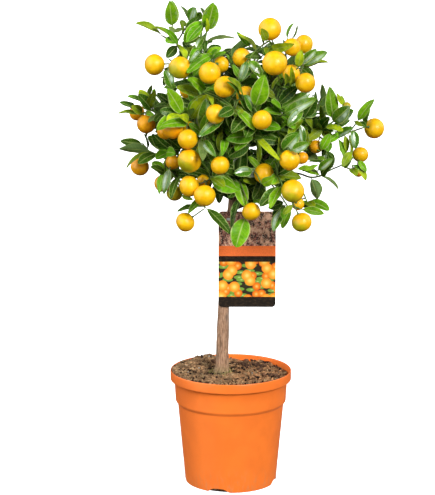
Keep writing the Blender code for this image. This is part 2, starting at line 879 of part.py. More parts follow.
def stem_radii(count, main):
    """Radii along a twig, thinner towards its end."""
    start = STEM_RADIUS if main else TWIG_RADIUS
    return [start + (TWIG_RADIUS * 0.85 - start) * i / (count - 1) for i in range(count)]


def skeleton_runs(ends):
    """Every run of the wood and of the shoots' stems, each with its owner's name."""
    runs = []
    trunk = [Vector(p) for p, _ in TRUNK]
    for i in range(len(trunk) - 1):
        runs.append(("wood", trunk[i], trunk[i + 1], TRUNK[i][1], TRUNK[i + 1][1]))
    for points, first, last in LIMBS.values():
        runs += [("wood", *run) for run in limb_runs(points, first, last)]
    for shoot in SHOOTS:
        for number, twig in enumerate(shoot.twigs):
            points = stem_points(twig, number == 0, ends)
            radii = stem_radii(len(points), number == 0)
            for i in range(len(points) - 1):
                runs.append((shoot.name, points[i], points[i + 1], radii[i], radii[i + 1]))
    return runs


def nearest_on_run(point, run):
    """The nearest point of a run's axis and the radius there."""
    _, start, end, first, last = run
    axis = end - start
    share = max(0.0, min(1.0, (point - start).dot(axis) / axis.length_squared))
    return start + axis * share, first + (last - first) * share


# Fruits


def settle_fruits(runs):
    """The fruits' centres, each moved out of any stem or fruit that it would touch."""
    settled = []
    placed = []
    for cluster in FRUITS:
        group = []
        for x, y, z, radius in cluster:
            centre = Vector((x, y, z))
            for _ in range(30):
                moved = False
                for run in runs:
                    point, thickness = nearest_on_run(centre, run)
                    gap = (centre - point).length - radius - thickness
                    if gap < STEM_GAP:
                        centre += (centre - point).normalized() * (STEM_GAP + PUSH - gap)
                        moved = True
                for other, size in placed:
                    gap = (centre - other).length - radius - size
                    if gap < FRUIT_GAP:
                        centre += (centre - other).normalized() * (FRUIT_GAP + PUSH - gap)
                        moved = True
                if not moved:
                    break
            group.append((centre, radius))
            placed.append((centre, radius))
        settled.append(group)
    return settled, placed


def way_is_clear(start, end, runs, fruits, skip):
    """True if a stalk from start to end passes every stem and every fruit but those in skip."""
    length = (end - start).length
    steps = max(2, int(length / 2))
    for i in range(steps + 1):
        point = straight_run(start, end, i / steps)
        for run in runs:
            near, thickness = nearest_on_run(point, run)
            allowed = thickness + STALK_RADIUS + STALK_GAP
            if (end - point).length < SEAT_REACH:
                allowed = thickness * SEAT_SHARE + SEAT_GAP * 0.8
            if (point - near).length < allowed:
                return False
        for centre, radius in fruits:
            if (centre, radius) not in skip and (point - centre).length < radius + STALK_RADIUS + STALK_GAP:
                return False
    return True


def cluster_stalks(cluster, runs, stalks, fruits):
    """Where a stalk sits on a stem, and its knuckle beside the fruits, from which it runs into each fruit."""
    middle = sum((centre for centre, _ in cluster), Vector()) / len(cluster)
    largest = max(radius for _, radius in cluster)
    top = middle + Vector((0, 0, largest))
    choices = []
    for run in runs:
        point, thickness = nearest_on_run(top, run)
        choices.append(((point - top).length - thickness, point, thickness))
    choices.sort(key=lambda choice: choice[0])
    for _, point, thickness in choices:
        aim = (point - middle).normalized()
        knuckle = middle + aim * (largest * 0.9)
        while len(cluster) > 1 and any((knuckle - c).length <= r + 3 for c, r in cluster):
            knuckle += aim
        reach = (knuckle - point).normalized()
        seat = point + reach * (thickness * SEAT_SHARE + SEAT_GAP)
        if (knuckle - point).length < thickness + 2.5:
            continue
        if not way_is_clear(knuckle, seat, runs + stalks, fruits, cluster):
            continue
        if len(cluster) == 1:
            return seat, knuckle
        forks = [centre - (centre - knuckle).normalized() * radius for centre, radius in cluster]
        if all(way_is_clear(fork, knuckle, runs + stalks, fruits, cluster) for fork in forks):
            return seat, knuckle
    raise ValueError(f"no way for the stalk of the cluster at {tuple(middle)}")


def fruit_mesh(name, centre, radius, calyx):
    """A slightly flattened ball whose short axis runs to the calyx."""
    turn = (calyx - centre).to_track_quat("Z", "Y").to_matrix().to_4x4()
    place = Matrix.Translation(centre * MM) @ turn @ Matrix.Diagonal((1, 1, FRUIT_FLATTENING, 1))
    mesh = bpy.data.meshes.new(name)
    shape = bmesh.new()
    bmesh.ops.create_icosphere(shape, subdivisions=2, radius=radius * MM, matrix=place)
    shape.to_mesh(mesh)
    shape.free()
    return mesh


def stalk_mesh(name, start, centre, radius):
    """A stalk from start into a fruit, with the calyx as a short flare where it meets the peel."""
    toward = (centre - start).normalized()
    skin = centre - toward * radius * FRUIT_FLATTENING
    calyx = radius * 0.22
    points = [start, skin - toward * 1.5, skin + toward * radius * 0.4]
    radii = [STALK_RADIUS, STALK_RADIUS, calyx]
    if (skin - start).length < 3.0:
        points = [start, skin + toward * radius * 0.4]
        radii = [STALK_RADIUS, STALK_RADIUS]
    return tube_mesh(name, points, radii)


def build_fruits(runs, space):
    """One solid for each fruit or cluster. It returns the Booleans that join each one's pieces."""
    joins = []
    settled, placed = settle_fruits(runs)
    stalks = []
    for number, cluster in enumerate(settled, 1):
        name = f"fruit_{number:02d}"
        seat, knuckle = cluster_stalks(cluster, runs, stalks, placed)
        start = seat if len(cluster) == 1 else knuckle
        stalks.append((name, seat, knuckle, STALK_RADIUS, STALK_RADIUS))
        stalks += [(name, start, centre, STALK_RADIUS, STALK_RADIUS) for centre, _ in cluster]
        group = helper_group(name + "_pieces")
        first = None
        for index, (centre, radius) in enumerate(cluster):
            peel = fruit_mesh(f"{name}_peel_{index}", centre, radius, start)
            if first is None:
                first = add_object(name, peel, "fruit_peel")
            else:
                add_helper(peel.name, peel, group)
            stalk = stalk_mesh(f"{name}_stalk_{index}", start, centre, radius)
            add_helper(stalk.name, stalk, group)
            space.add(name, ball(centre, radius + TEST_MARGIN))
            space.add(name, prism(start, centre, STALK_RADIUS + TEST_MARGIN))
        if len(cluster) > 1:
            beyond = knuckle + (knuckle - seat).normalized() * STALK_RADIUS
            stalk = tube_mesh(name + "_stem", [seat, beyond], [STALK_RADIUS * 1.2, STALK_RADIUS * 1.2])
            add_helper(stalk.name, stalk, group)
            space.add(name, prism(seat, beyond, STALK_RADIUS * 1.2 + TEST_MARGIN))
        joins.append((first, group, "UNION"))
    return joins


# Shoots


def grow_leaves(space, ends):
    """Places the shoots' leaves: the first listed of each, the second of each, and so on, then the wild."""
    rng = random.Random(7)
    rounds = range(max(len(shoot.leaves) for shoot in SHOOTS))
    for shoot, number in [(shoot, n) for n in rounds for shoot in SHOOTS if n < len(shoot.leaves)]:
        twig, index, offset, width, roll = shoot.leaves[number]
        bases = bases_near([Vector(p) for p in shoot.twigs[twig]], index)
        tip = bases[0] + Vector(offset)
        normal = leaf_normal(Vector(offset).normalized(), roll)
        shoot.placed.append(place_leaf(space, shoot.name, bases, tip, normal, width))
    for shoot in SHOOTS:
        for index in range(shoot.wild):
            number = index % 3 % len(shoot.twigs)
            points = stem_points(shoot.twigs[number], number == 0, ends)[number == 0 :]
            shoot.placed.append(place_leaf(space, shoot.name, *wild_leaf(points, index, rng), clipped=True))


def build_shoots(space, ends):
    """One solid for each shoot, its twigs and leaves grown together. It returns the Booleans for that."""
    joins = []
    grow_leaves(space, ends)
    for shoot in SHOOTS:
        group = helper_group(shoot.name + "_pieces")
        body = None
        for number, twig in enumerate(shoot.twigs):
            points = stem_points(twig, number == 0, ends)
            stem = tube_mesh(f"{shoot.name}_twig_{number}", points, stem_radii(len(points), number == 0))
            if body is None:
                body = add_object(shoot.name, stem, "leaf")
            else:
                add_helper(stem.name, stem, group)
        for number, leaf in enumerate(shoot.placed):
            if leaf is not None:
                blade = leaf_mesh(f"{shoot.name}_leaf_{number}", leaf)
                add_helper(blade.name, blade, group)
        joins.append((body, group, "UNION"))
    return joins


def build_wood():
    """Trunk and limbs, grown together as one solid."""
    group = helper_group("wood_pieces")
    mesh = tube_mesh("trunk", [p for p, _ in TRUNK], [r for _, r in TRUNK], 3)
    trunk = add_object("trunk_and_branches", mesh, "bark")
    for name, (points, first, last) in LIMBS.items():
        count = len(points) - 1
        radii = [first + (last - first) * i / count for i in range(count + 1)]
        limb = tube_mesh("limb_" + name, points, radii, 1)
        add_helper(limb.name, limb, group)
    return [(trunk, group, "UNION")]


# Pot, soil and tag


def pot_inner_profile(gap):
    """(radius, height) along the pot's inside, from the floor's middle up to the lip, drawn in by gap."""
    return [
        (0, FLOOR + gap),
        (FOOT_RADIUS - WALL - STEP_FALL - gap, FLOOR + gap),
        (BODY_TOP_RADIUS - WALL - gap, BODY_TOP_Z + gap),
        (BAND_FOOT_RADIUS - WALL - gap, BAND_FOOT_Z + gap),
        (BAND_TOP_RADIUS - WALL - gap, LIP_FOOT_Z + EDGE_ROUND + gap),
        (LIP_RADIUS - WALL - 0.4 - gap, LIP_FOOT_Z + 2 * EDGE_ROUND + gap),
    ]


def build_pot():
    """The thin-walled pot, turned, with drain notches cut into its foot."""
    profile = pot_inner_profile(0) + [
        (LIP_RADIUS - WALL, POT_HEIGHT - EDGE_ROUND),
        (LIP_RADIUS - WALL + 0.5, POT_HEIGHT),
        (LIP_RADIUS - 0.6, POT_HEIGHT),
        (LIP_RADIUS, POT_HEIGHT - EDGE_ROUND),
        (LIP_RADIUS, LIP_FOOT_Z + EDGE_ROUND),
        (LIP_RADIUS - EDGE_ROUND, LIP_FOOT_Z),
        (BAND_TOP_RADIUS, LIP_FOOT_Z - STEP_FALL),
        (BAND_FOOT_RADIUS, BAND_FOOT_Z),
        (BODY_TOP_RADIUS, BODY_TOP_Z),
        (FOOT_RADIUS, 2.5),
        (FOOT_RADIUS - 0.8, 0),
        (0, 0),
    ]
    pot = add_object("nursery_pot", turned("nursery_pot", profile, POT_STEPS), "pot_plastic")
    group = helper_group("drain_notches")
    for index in range(NOTCH_COUNT):
        angle = math.radians(NOTCH_FIRST_ANGLE + 360 / NOTCH_COUNT * index)
        turn = Matrix.Rotation(angle, 4, "Z") @ Matrix.Translation((FOOT_RADIUS * MM, 0, 0))
        size = Matrix.Diagonal((2 * NOTCH_DEPTH * MM, NOTCH_WIDTH * MM, 2 * NOTCH_HEIGHT * MM, 1))
        mesh = bpy.data.meshes.new("drain_notch")
        shape = bmesh.new()
        bmesh.ops.create_cube(shape, size=1.0, matrix=turn @ size)
        shape.to_mesh(mesh)
        shape.free()
        add_helper(f"drain_notch_{index}", mesh, group)
    return [(pot, group, "DIFFERENCE")]


def soil_height(x, y):
    """Height of the soil's surface: higher at the left than at the right, with low swells."""
    slope = (-x - 0.15 * y) / LIP_RADIUS
    swell = math.sin(x * 0.061 + 0.7) * math.cos(y * 0.053 - 0.4)
    return SOIL_LEVEL + SOIL_SWELL * (0.55 * slope + 0.3 * swell)


def build_soil():
    """The potting mix: a plug that follows the pot's inside, with a socket for the trunk."""
    outline = pot_inner_profile(CLEARANCE)[::-1]
    profile = [(radius, SOIL_LEVEL) for radius in (*SOIL_RINGS, outline[0][0])] + outline
    mesh = turned("soil", profile, SOIL_STEPS)
    for vertex in mesh.vertices:
        if vertex.co.z > (SOIL_LEVEL - 0.1) * MM:
            vertex.co.z = soil_height(vertex.co.x / MM, vertex.co.y / MM) * MM
    soil = add_object("soil", mesh, "potting_soil")
    group = helper_group("trunk_socket")
    down = (Vector(TRUNK[0][0]) - Vector(TRUNK[1][0])).normalized()
    points = [Vector(TRUNK[0][0]) + down * CLEARANCE] + [Vector(p) for p, _ in TRUNK[1:3]]
    radii = [r + CLEARANCE for _, r in TRUNK[:3]]
    socket = tube_mesh("trunk_socket", points, radii, 3)
    add_helper(socket.name, socket, group)
    return [(soil, group, "DIFFERENCE")]


def box_mesh(name, low, high):
    """A box between two corners."""
    low, high = Vector(low), Vector(high)
    size = Matrix.Diagonal((*((high - low) * MM), 1))
    mesh = bpy.data.meshes.new(name)
    shape = bmesh.new()
    bmesh.ops.create_cube(shape, size=1.0, matrix=Matrix.Translation((low + high) / 2 * MM) @ size)
    shape.to_mesh(mesh)
    shape.free()
    return mesh


def build_tag():
    """The hang tag, a card with rounded corners and two slots, and the strap that runs through them."""
    front = TAG_BACK_Y - TAG_THICKNESS
    mesh = box_mesh("hang_tag", (TAG_LEFT_X, front, TAG_FOOT_Z), (TAG_RIGHT_X, TAG_BACK_Y, TAG_TOP_Z))
    shape = bmesh.new()
    shape.from_mesh(mesh)
    corners = [e for e in shape.edges if abs(e.verts[0].co.y - e.verts[1].co.y) > TAG_THICKNESS * MM / 2]
    bmesh.ops.bevel(shape, geom=corners, offset=TAG_CORNER * MM, segments=4, profile=0.5, affect="EDGES")
    shape.to_mesh(mesh)
    shape.free()
    tag = add_object("hang_tag", mesh, "tag_card")
    back = TRUNK_RADIUS_AT_STRAP + CLEARANCE + STRAP_THICKNESS
    reach = front - CLEARANCE - STRAP_THICKNESS
    depth = (back - reach) / 2
    middle = (back + reach) / 2

    def half_width_at(y, inset):
        """Half the width of the strap's oval at y, drawn in by inset."""
        return (STRAP_HALF_WIDTH - inset) * math.sqrt(1 - ((y - middle) / (depth - inset)) ** 2)

    slots = helper_group("tag_slots")
    half = STRAP_HEIGHT / 2 + SLOT_CLEARANCE
    near = half_width_at(front, STRAP_THICKNESS) - SLOT_CLEARANCE
    far = half_width_at(TAG_BACK_Y, 0) + SLOT_CLEARANCE
    for side in (-1, 1):
        low = (min(side * near, side * far), front - 2, STRAP_Z - half)
        high = (max(side * near, side * far), TAG_BACK_Y + 2, STRAP_Z + half)
        add_helper(f"slot_{side}", box_mesh("slot", low, high), slots)

    place = Matrix.Translation(Vector((0, middle, STRAP_Z)) * MM)
    hole_group = helper_group("strap_hole")
    rings = (("tag_strap", 0, STRAP_HEIGHT), ("strap_hole", STRAP_THICKNESS, STRAP_HEIGHT * 3))
    for name, inset, height in rings:
        mesh = bpy.data.meshes.new(name)
        size = Matrix.Diagonal(((STRAP_HALF_WIDTH - inset) * MM, (depth - inset) * MM, height * MM, 1))
        shape = bmesh.new()
        bmesh.ops.create_cone(
            shape, cap_ends=True, segments=STRAP_STEPS, radius1=1, radius2=1, depth=1, matrix=place @ size
        )
        shape.to_mesh(mesh)
        shape.free()
        if inset:
            add_helper(name, mesh, hole_group)
        else:
            strap = add_object(name, mesh, "strap_plastic")
    return [(tag, slots, "DIFFERENCE"), (strap, hole_group, "DIFFERENCE")]


def clear_scene():
    """Removes every object that the scene starts with."""
    for thing in list(bpy.data.objects):
        bpy.data.objects.remove(thing)


def main():
    clear_scene()
    collection(NAME)
    collection("cutters")
    ends = limb_ends()
    runs = skeleton_runs(ends)
    space = Space()
    for owner, start, end, first, last in runs:
        space.add(owner, prism(start, end, max(first, last) + TEST_MARGIN))
    wanted = build_pot() + build_soil() + build_wood() + build_tag()
    wanted += build_fruits(runs, space)
    wanted += build_shoots(space, ends)
    add_booleans(wanted)


main()
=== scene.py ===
"""A potted calamondin tree: a nursery pot, potting mix, a barked trunk, leafy shoots, fruits and a hang tag.

Lengths in the tables and in the shape functions are in millimetres, and become metres when a mesh is made.
+Z is up, -Y is the front, and the origin is the middle of the pot's underside. Every surface is a grid of
points worked out with numpy. The leaves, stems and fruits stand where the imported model's shoots and fruits
stand, because the same tables and the same rules place them. Only the side leaves with their twigs, the inner
leaves and the soil's crumbs have no counterpart there.
"""

import math
import random
from dataclasses import dataclass, field

import bmesh
import bpy
import numpy as np
from bpy.props import FloatProperty, FloatVectorProperty, IntProperty, PointerProperty
from mathutils import Matrix, Vector
from mathutils.bvhtree import BVHTree


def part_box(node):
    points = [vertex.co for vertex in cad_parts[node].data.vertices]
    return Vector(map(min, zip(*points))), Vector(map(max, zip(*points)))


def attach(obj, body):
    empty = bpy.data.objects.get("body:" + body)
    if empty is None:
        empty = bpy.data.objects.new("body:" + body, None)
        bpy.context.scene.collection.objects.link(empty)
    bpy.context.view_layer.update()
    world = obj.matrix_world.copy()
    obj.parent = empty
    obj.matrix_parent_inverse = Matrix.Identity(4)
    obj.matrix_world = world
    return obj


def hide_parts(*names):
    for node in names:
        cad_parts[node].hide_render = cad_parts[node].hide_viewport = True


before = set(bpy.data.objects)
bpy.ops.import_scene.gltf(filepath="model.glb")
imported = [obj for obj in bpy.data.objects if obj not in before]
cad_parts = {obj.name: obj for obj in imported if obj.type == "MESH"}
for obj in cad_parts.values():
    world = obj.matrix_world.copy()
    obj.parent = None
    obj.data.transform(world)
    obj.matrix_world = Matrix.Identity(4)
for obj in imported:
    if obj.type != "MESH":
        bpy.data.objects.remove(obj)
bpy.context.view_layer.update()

bl_info = {
    "name": "Potted calamondin tree",
    "version": (1, 0, 0),
    "blender": (4, 5, 0),
    "location": "3D View > Sidebar > Citrus",
    "description": "Builds a potted calamondin tree with leaves, fruits, bark, potting mix and a hang tag",
    "category": "Add Mesh",
}

MM = 0.001
TAG_BOX = [np.array(tuple(corner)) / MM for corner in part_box("hang_tag")]
WELD = 1e-6
SNAP = 0.01
GOLDEN_ANGLE = 137.5

# Nursery pot
POT_HEIGHT = 190.0
LIP_RADIUS = 100.0
BAND_TOP_RADIUS = 93.5
BAND_FOOT_RADIUS = 91.5
BODY_TOP_RADIUS = 87.8
BODY_TOP_Z = 134.0
FOOT_RADIUS = 75.5
WALL = 1.8
FLOOR = 2.5
NOTCH_COUNT = 4
NOTCH_HEIGHT = 6.5
NOTCH_DEPTH = 6.0
NOTCH_FIRST_ANGLE = -105.9
POT_STEPS = 180
NOTCH_STEPS = 10

# Soil
SOIL_LEVEL = 181.5
SOIL_SWELL = 8.0
SOIL_GAP = 0.35
SOIL_TOP = 194.0
SOIL_AROUND = 168
CRUMB_REACH = 95.0
CRUMB_SEED = 5
CRUMB_SHAPE_SEED = 11
CLOD_COUNT, CLOD_SHAPE_SEED = 46, 12
MOSS_COUNT, MOSS_SHAPE_SEED = 90, 13
GRAIN_COUNT, GRAIN_SHAPE_SEED = 16, 14
LUMP_ROWS, LUMP_AROUND = 7, 8
FIBRE_POINTS, FIBRE_AROUND = 6, 5

# Trunk: points of the axis and the radius at each. The first two lie in the soil
TRUNK = [
    ((-16, 0, 126), 10.5), ((-15, 0, 178), 11.8), ((-14.5, 0, 196), 10.4), ((-13.5, 0, 240), 10.0),
    ((-12, 0, 295), 8.8), ((-8.5, 0, 345), 8.5), ((-5, 0, 391), 8.3), ((-1, 0, 435), 8.0),
    ((3, 0, 474), 7.4), ((2, 0, 532), 6.2), ((3, 0, 572), 4.8),
]
TRUNK_FOOT_X = -15.0
FLARE_PLACE = 58
KNOT_PLACE, KNOT_TURN = 96, 3.9

# Grids of the stems: how far apart the rings are, and how many points a ring has
TRUNK_GRID = (2.6, 60)
LIMB_GRID = (4.0, 12)
TWIG_GRID = (4.0, 8)
SIDE_TWIG_GRID = (3.0, 8)
STALK_GRID = (2.0, 8)

# Hang tag and strap
TAG_CORNER = 6.0
STRAP_Z = 444.0
STRAP_HEIGHT = 4.4
STRAP_HALF_WIDTH = 11.5
STRAP_THICKNESS = 0.9
SLOT_CLEARANCE = 0.5
STRAP_FRONT_Y = -11.25
STRAP_BACK_Y = 9.25
STRAP_MIDDLE_Y = (STRAP_FRONT_Y + STRAP_BACK_Y) / 2
STRAP_HALF_DEPTH = (STRAP_BACK_Y - STRAP_FRONT_Y) / 2
STRAP_AROUND, STRAP_SECTION = 72, 16
TAG_COLUMNS, TAG_ROWS, TAG_CORNER_STEPS = 25, 34, 7
SHARP_ANGLE = 38
STRAP_SHARP_ANGLE = 50

# Where the card's printed zones begin, in metres above the ground
PICTURE_FOOT = 0.315
DARK_BAND_FOOT = 0.3735
STRIPE_FOOT = 0.383
PANEL_FOOT = 0.400

# Stage: how far the floor and the camera's view reach, in metres, and the sensor's width in millimetres
FLOOR_REACH = 40
VIEW_REACH = 200.0
SENSOR_WIDTH = 36.0

# Sun lamps: name, the setting with its strength, and in degrees its height, its turn and its apparent size
LAMPS = (
    ("key", "key", 27, 30, 24), ("fill", "fill", 22, -56, 70),
    ("rim_left", "rim", 30, -112, 60), ("rim_right", "rim", 30, 112, 60),
)

# Leaves and fruits
CLEARANCE = 0.35
STEM_RADIUS = 1.8
TWIG_RADIUS = 1.3
SPRIG_REACH = 12.0
SIDE_TWIG_LIFT = 0.08
SIDE_TWIG_LEAST = 1.0
SIDE_TWIG_RADII = (1.35, 1.2, 1.05)
SIDE_RUN_RADII = (1.1, 0.95, 0.85)
STALK_RADIUS = 1.1
STALK_LEAST = 2.0
SEAT_SHARE = 0.9
SEAT_GAP = 0.3
SEAT_REACH = 4.5
STALK_GAP = 0.8
STEM_GAP = 1.2
FRUIT_GAP = 1.0
PUSH = 0.1
SETTLE_ROUNDS = 30
FOOT_RUN = 5.0
BASE_SHIFTS = (3.0, 6.0, 9.0)
STEM_OVERRUN = 2.5
TEST_MARGIN = 0.2
LEAF_MARGIN = 0.7
PETIOLE_HALF_WIDTH = 0.8
LEAF_HALF_THICKNESS = 0.3
LEAF_SHARES = (0.0, 0.38, 0.70)
LEAF_WIDTHS = (0.0, 1.0, 0.74)
BLADE_START = 0.3
LEAF_KEEL = 1.2
LEAF_ARCH = 0.09
FRUIT_FLATTENING = 0.94
FRUIT_ROWS = 24
FRUIT_AROUND = 34
CALYX_AROUND = 20
KNOT_THICKNESS = 1.2
CROWN_CENTRE = Vector((12, 0, 600))
CROWN_REACH = Vector((160, 188, 140))
WILD_TWIGS = 3
WILD_LENGTHS, WILD_WIDTHS = (40, 58), (0.36, 0.44)
INNER_LENGTHS, INNER_WIDTHS = (34, 56), (0.38, 0.47)
INNER_FOOT_Z = 485
INNER_DRAW = 1.06

# Seeds of the random draws: where the leaves that grow by rule stand, their tones, and the leaves' shapes
WILD_SEED = 7
WILD_TONE_SEED = 11
INNER_SEED = 23
SHOOT_SHAPE_SEED = 100
SIDE_SHAPE_SEED = 200
INNER_SHAPE_SEED = 300

# Tones of the upper side: colour, how clearly the midrib and the margin show, and gloss. The pale margin is
# partly a painted highlight, and the gloss also sets a painted highlight
TONES = {
    "m": ((0.095, 0.320, 0.003), 0.90, 0.35),
    "b": ((0.150, 0.425, 0.004), 1.00, 0.45),
    "d": ((0.017, 0.090, 0.003), 0.75, 0.50),
    "l": ((0.370, 0.510, 0.004), 0.55, 0.20),
    "o": ((0.190, 0.290, 0.004), 0.55, 0.25),
    "g": ((0.140, 0.225, 0.070), 0.45, 0.25),
    "s": ((0.058, 0.225, 0.008), 1.00, 1.00),
}
WILD_TONES = "mmddddoos"
INNER_TONES = "mmmmddddob"
PETIOLE_COLOUR = (0.15, 0.27, 0.045)
RIB_SHOWS = 0.68
MARGIN_SHOWS = 0.95

# Peel colours: the main one and the blush, which on most fruits lies low at the back as painted shade
PEELS = {
    "y": ((1.000, 0.560, 0.002), (0.930, 0.320, 0.002)),
    "o": ((0.980, 0.430, 0.002), (0.860, 0.220, 0.002)),
    "a": ((0.860, 0.400, 0.003), (0.480, 0.160, 0.003)),
    "g": ((0.520, 0.430, 0.008), (0.200, 0.240, 0.008)),
    "p": ((0.960, 0.540, 0.002), (0.420, 0.420, 0.006)),
}

# A row of letters for each cluster, a letter for each fruit. See PEELS
PEEL_TONES = (
    "y", "p", "yy", "yy", "y", "y", "y", "yy", "yy", "oo", "oo", "yy", "p", "y", "y", "y", "y", "yo", "a",
    "y", "yo", "o", "ag", "yyy", "a", "y", "y", "pyp", "g", "yo", "yo", "yy",
)


@dataclass
class Leaf:
    """One leaf: where its petiole starts, its tip, which way its upper side faces, its width and its tone."""

    base: Vector
    tip: Vector
    normal: Vector
    width: float
    tone: str = "m"


@dataclass
class Shoot:
    """A leafy shoot. Each twig is a list of points, and each leaf is hung on a twig's point.

    A leaf is (twig, point, offset of the tip, width, roll, tone). At roll 0 the upper side faces the front,
    at 90 it faces up or to the side, and from there to 180 the underside shows. Wild is how many leaves grow
    by rule, and placed are the leaves that found room.
    """

    name: str
    twigs: list
    leaves: list
    wild: int = 1
    placed: list = field(default_factory=list)


# Limbs of the crown: points of the axis, first radius, last radius. Each ends where a shoot begins
LIMBS = [
    ([(2, 0, 484), (-30, -8, 520), (-55, -14, 545), (-75, -20, 560)], 5.0, 2.3),
    ([(-30, -8, 520), (-42, 20, 522), (-45, 50, 530)], 3.5, 2.3),
    ([(2, 0, 506), (35, -5, 530), (62, -5, 552), (95, -15, 590)], 5.0, 2.3),
    ([(1, 0, 460), (22, 6, 467), (38, 2, 482), (42, -14, 504), (45, -35, 515)], 5.0, 2.4),
    ([(38, 2, 482), (56, -4, 502), (70, -15, 520)], 3.5, 2.3),
    ([(38, 2, 482), (50, 25, 505), (60, 50, 525)], 3.5, 2.3),
    ([(3, 0, 492), (4, -20, 494), (8, -40, 500)], 3.2, 2.2),
    ([(2, 0, 530), (-10, -25, 524), (-20, -45, 520)], 3.2, 2.2),
    ([(2, 0, 530), (-25, 5, 560), (-55, 14, 578), (-80, 26, 590)], 4.2, 2.3),
    ([(-25, 5, 560), (-50, -10, 592), (-80, -25, 625)], 3.4, 2.3),
    ([(3, 0, 566), (-5, -30, 570), (-20, -60, 575)], 3.5, 2.3),
    ([(-5, -30, 570), (-28, -44, 594), (-50, -60, 612)], 3.0, 2.2),
    ([(3, 0, 566), (14, -25, 580), (25, -60, 600)], 3.5, 2.3),
    ([(14, -25, 580), (35, -34, 596), (55, -50, 610)], 3.0, 2.2),
    ([(3, 0, 568), (-10, -5, 610), (-20, -15, 640), (-30, -30, 665)], 4.5, 2.3),
    ([(-10, -5, 610), (-36, -10, 650), (-62, -25, 690)], 3.5, 2.2),
    ([(-10, -5, 610), (-32, 18, 638), (-60, 45, 660)], 3.4, 2.3),
    ([(3, 0, 568), (10, 5, 610), (20, -4, 640), (25, -20, 670)], 4.5, 2.3),
    ([(10, 5, 610), (38, -5, 646), (75, -30, 680)], 3.5, 2.2),
    ([(10, 5, 610), (10, 30, 642), (5, 60, 670)], 3.4, 2.3),
    ([(10, 5, 610), (40, 26, 636), (75, 50, 665)], 3.4, 2.3),
    ([(3, 0, 570), (8, 36, 582), (15, 80, 590)], 4.0, 2.3),
    ([(62, -5, 552), (80, 14, 568), (100, 34, 590)], 3.4, 2.3),
]
# Fruits, one cluster a row: x, y, z and radius of each
FRUITS = [
    [(-121, -60, 700, 17)],
    [(-80, -110, 700, 17.4)],
    [(-34, -120, 693, 17), (-19, -60, 702, 13)],
    [(-11, -150, 675, 17), (22, -116, 657, 15.5)],
    [(16, -70, 712, 15)],
    [(59, -90, 758, 18)],
    [(65, -150, 711, 19)],
    [(93, -100, 731, 14), (113, -70, 733, 15)],
    [(92, -110, 691, 14), (113, -132, 679, 15.5)],
    [(-137, -40, 607, 15), (-152, 0, 617, 13)],
    [(-92, -112, 606, 17), (-105, -68, 596, 13)],
    [(-68, -140, 593, 15.5), (-66, -84, 602, 12)],
    [(-66, -135, 564, 18.5)],
    [(46, -150, 624, 15.5)],
    [(-25, -140, 632, 15.5)],
    [(-18, -150, 554, 14.5)],
    [(54, -104, 533, 16)],
    [(89, -150, 562, 16), (111, -100, 558, 9.5)],
    [(134, -60, 570, 11)],
    [(229, -20, 594, 16.5)],
    [(207, -30, 553, 13), (205, -20, 524, 9)],
    [(-147, -20, 532, 15)],
    [(-110, -50, 510, 13.5), (-90, -70, 497, 13)],
    [(-66, -112, 515, 16.5), (-42, -135, 504, 17), (-44, -88, 519, 10.5)],
    [(-93, -60, 545, 11.5)],
    [(-73, -90, 454, 15.5)],
    [(29, -110, 475, 14.5)],
    [(94.5, -140, 512, 18), (105, -90, 483, 10), (110, -112, 458, 16)],
    [(182, -60, 635, 6.5)],
    [(-70, 118, 640, 16), (-62, 128, 676, 15)],
    [(52, 132, 642, 16), (78, 128, 676, 15)],
    [(-48, 140, 560, 16), (60, 140, 566, 15)],
]
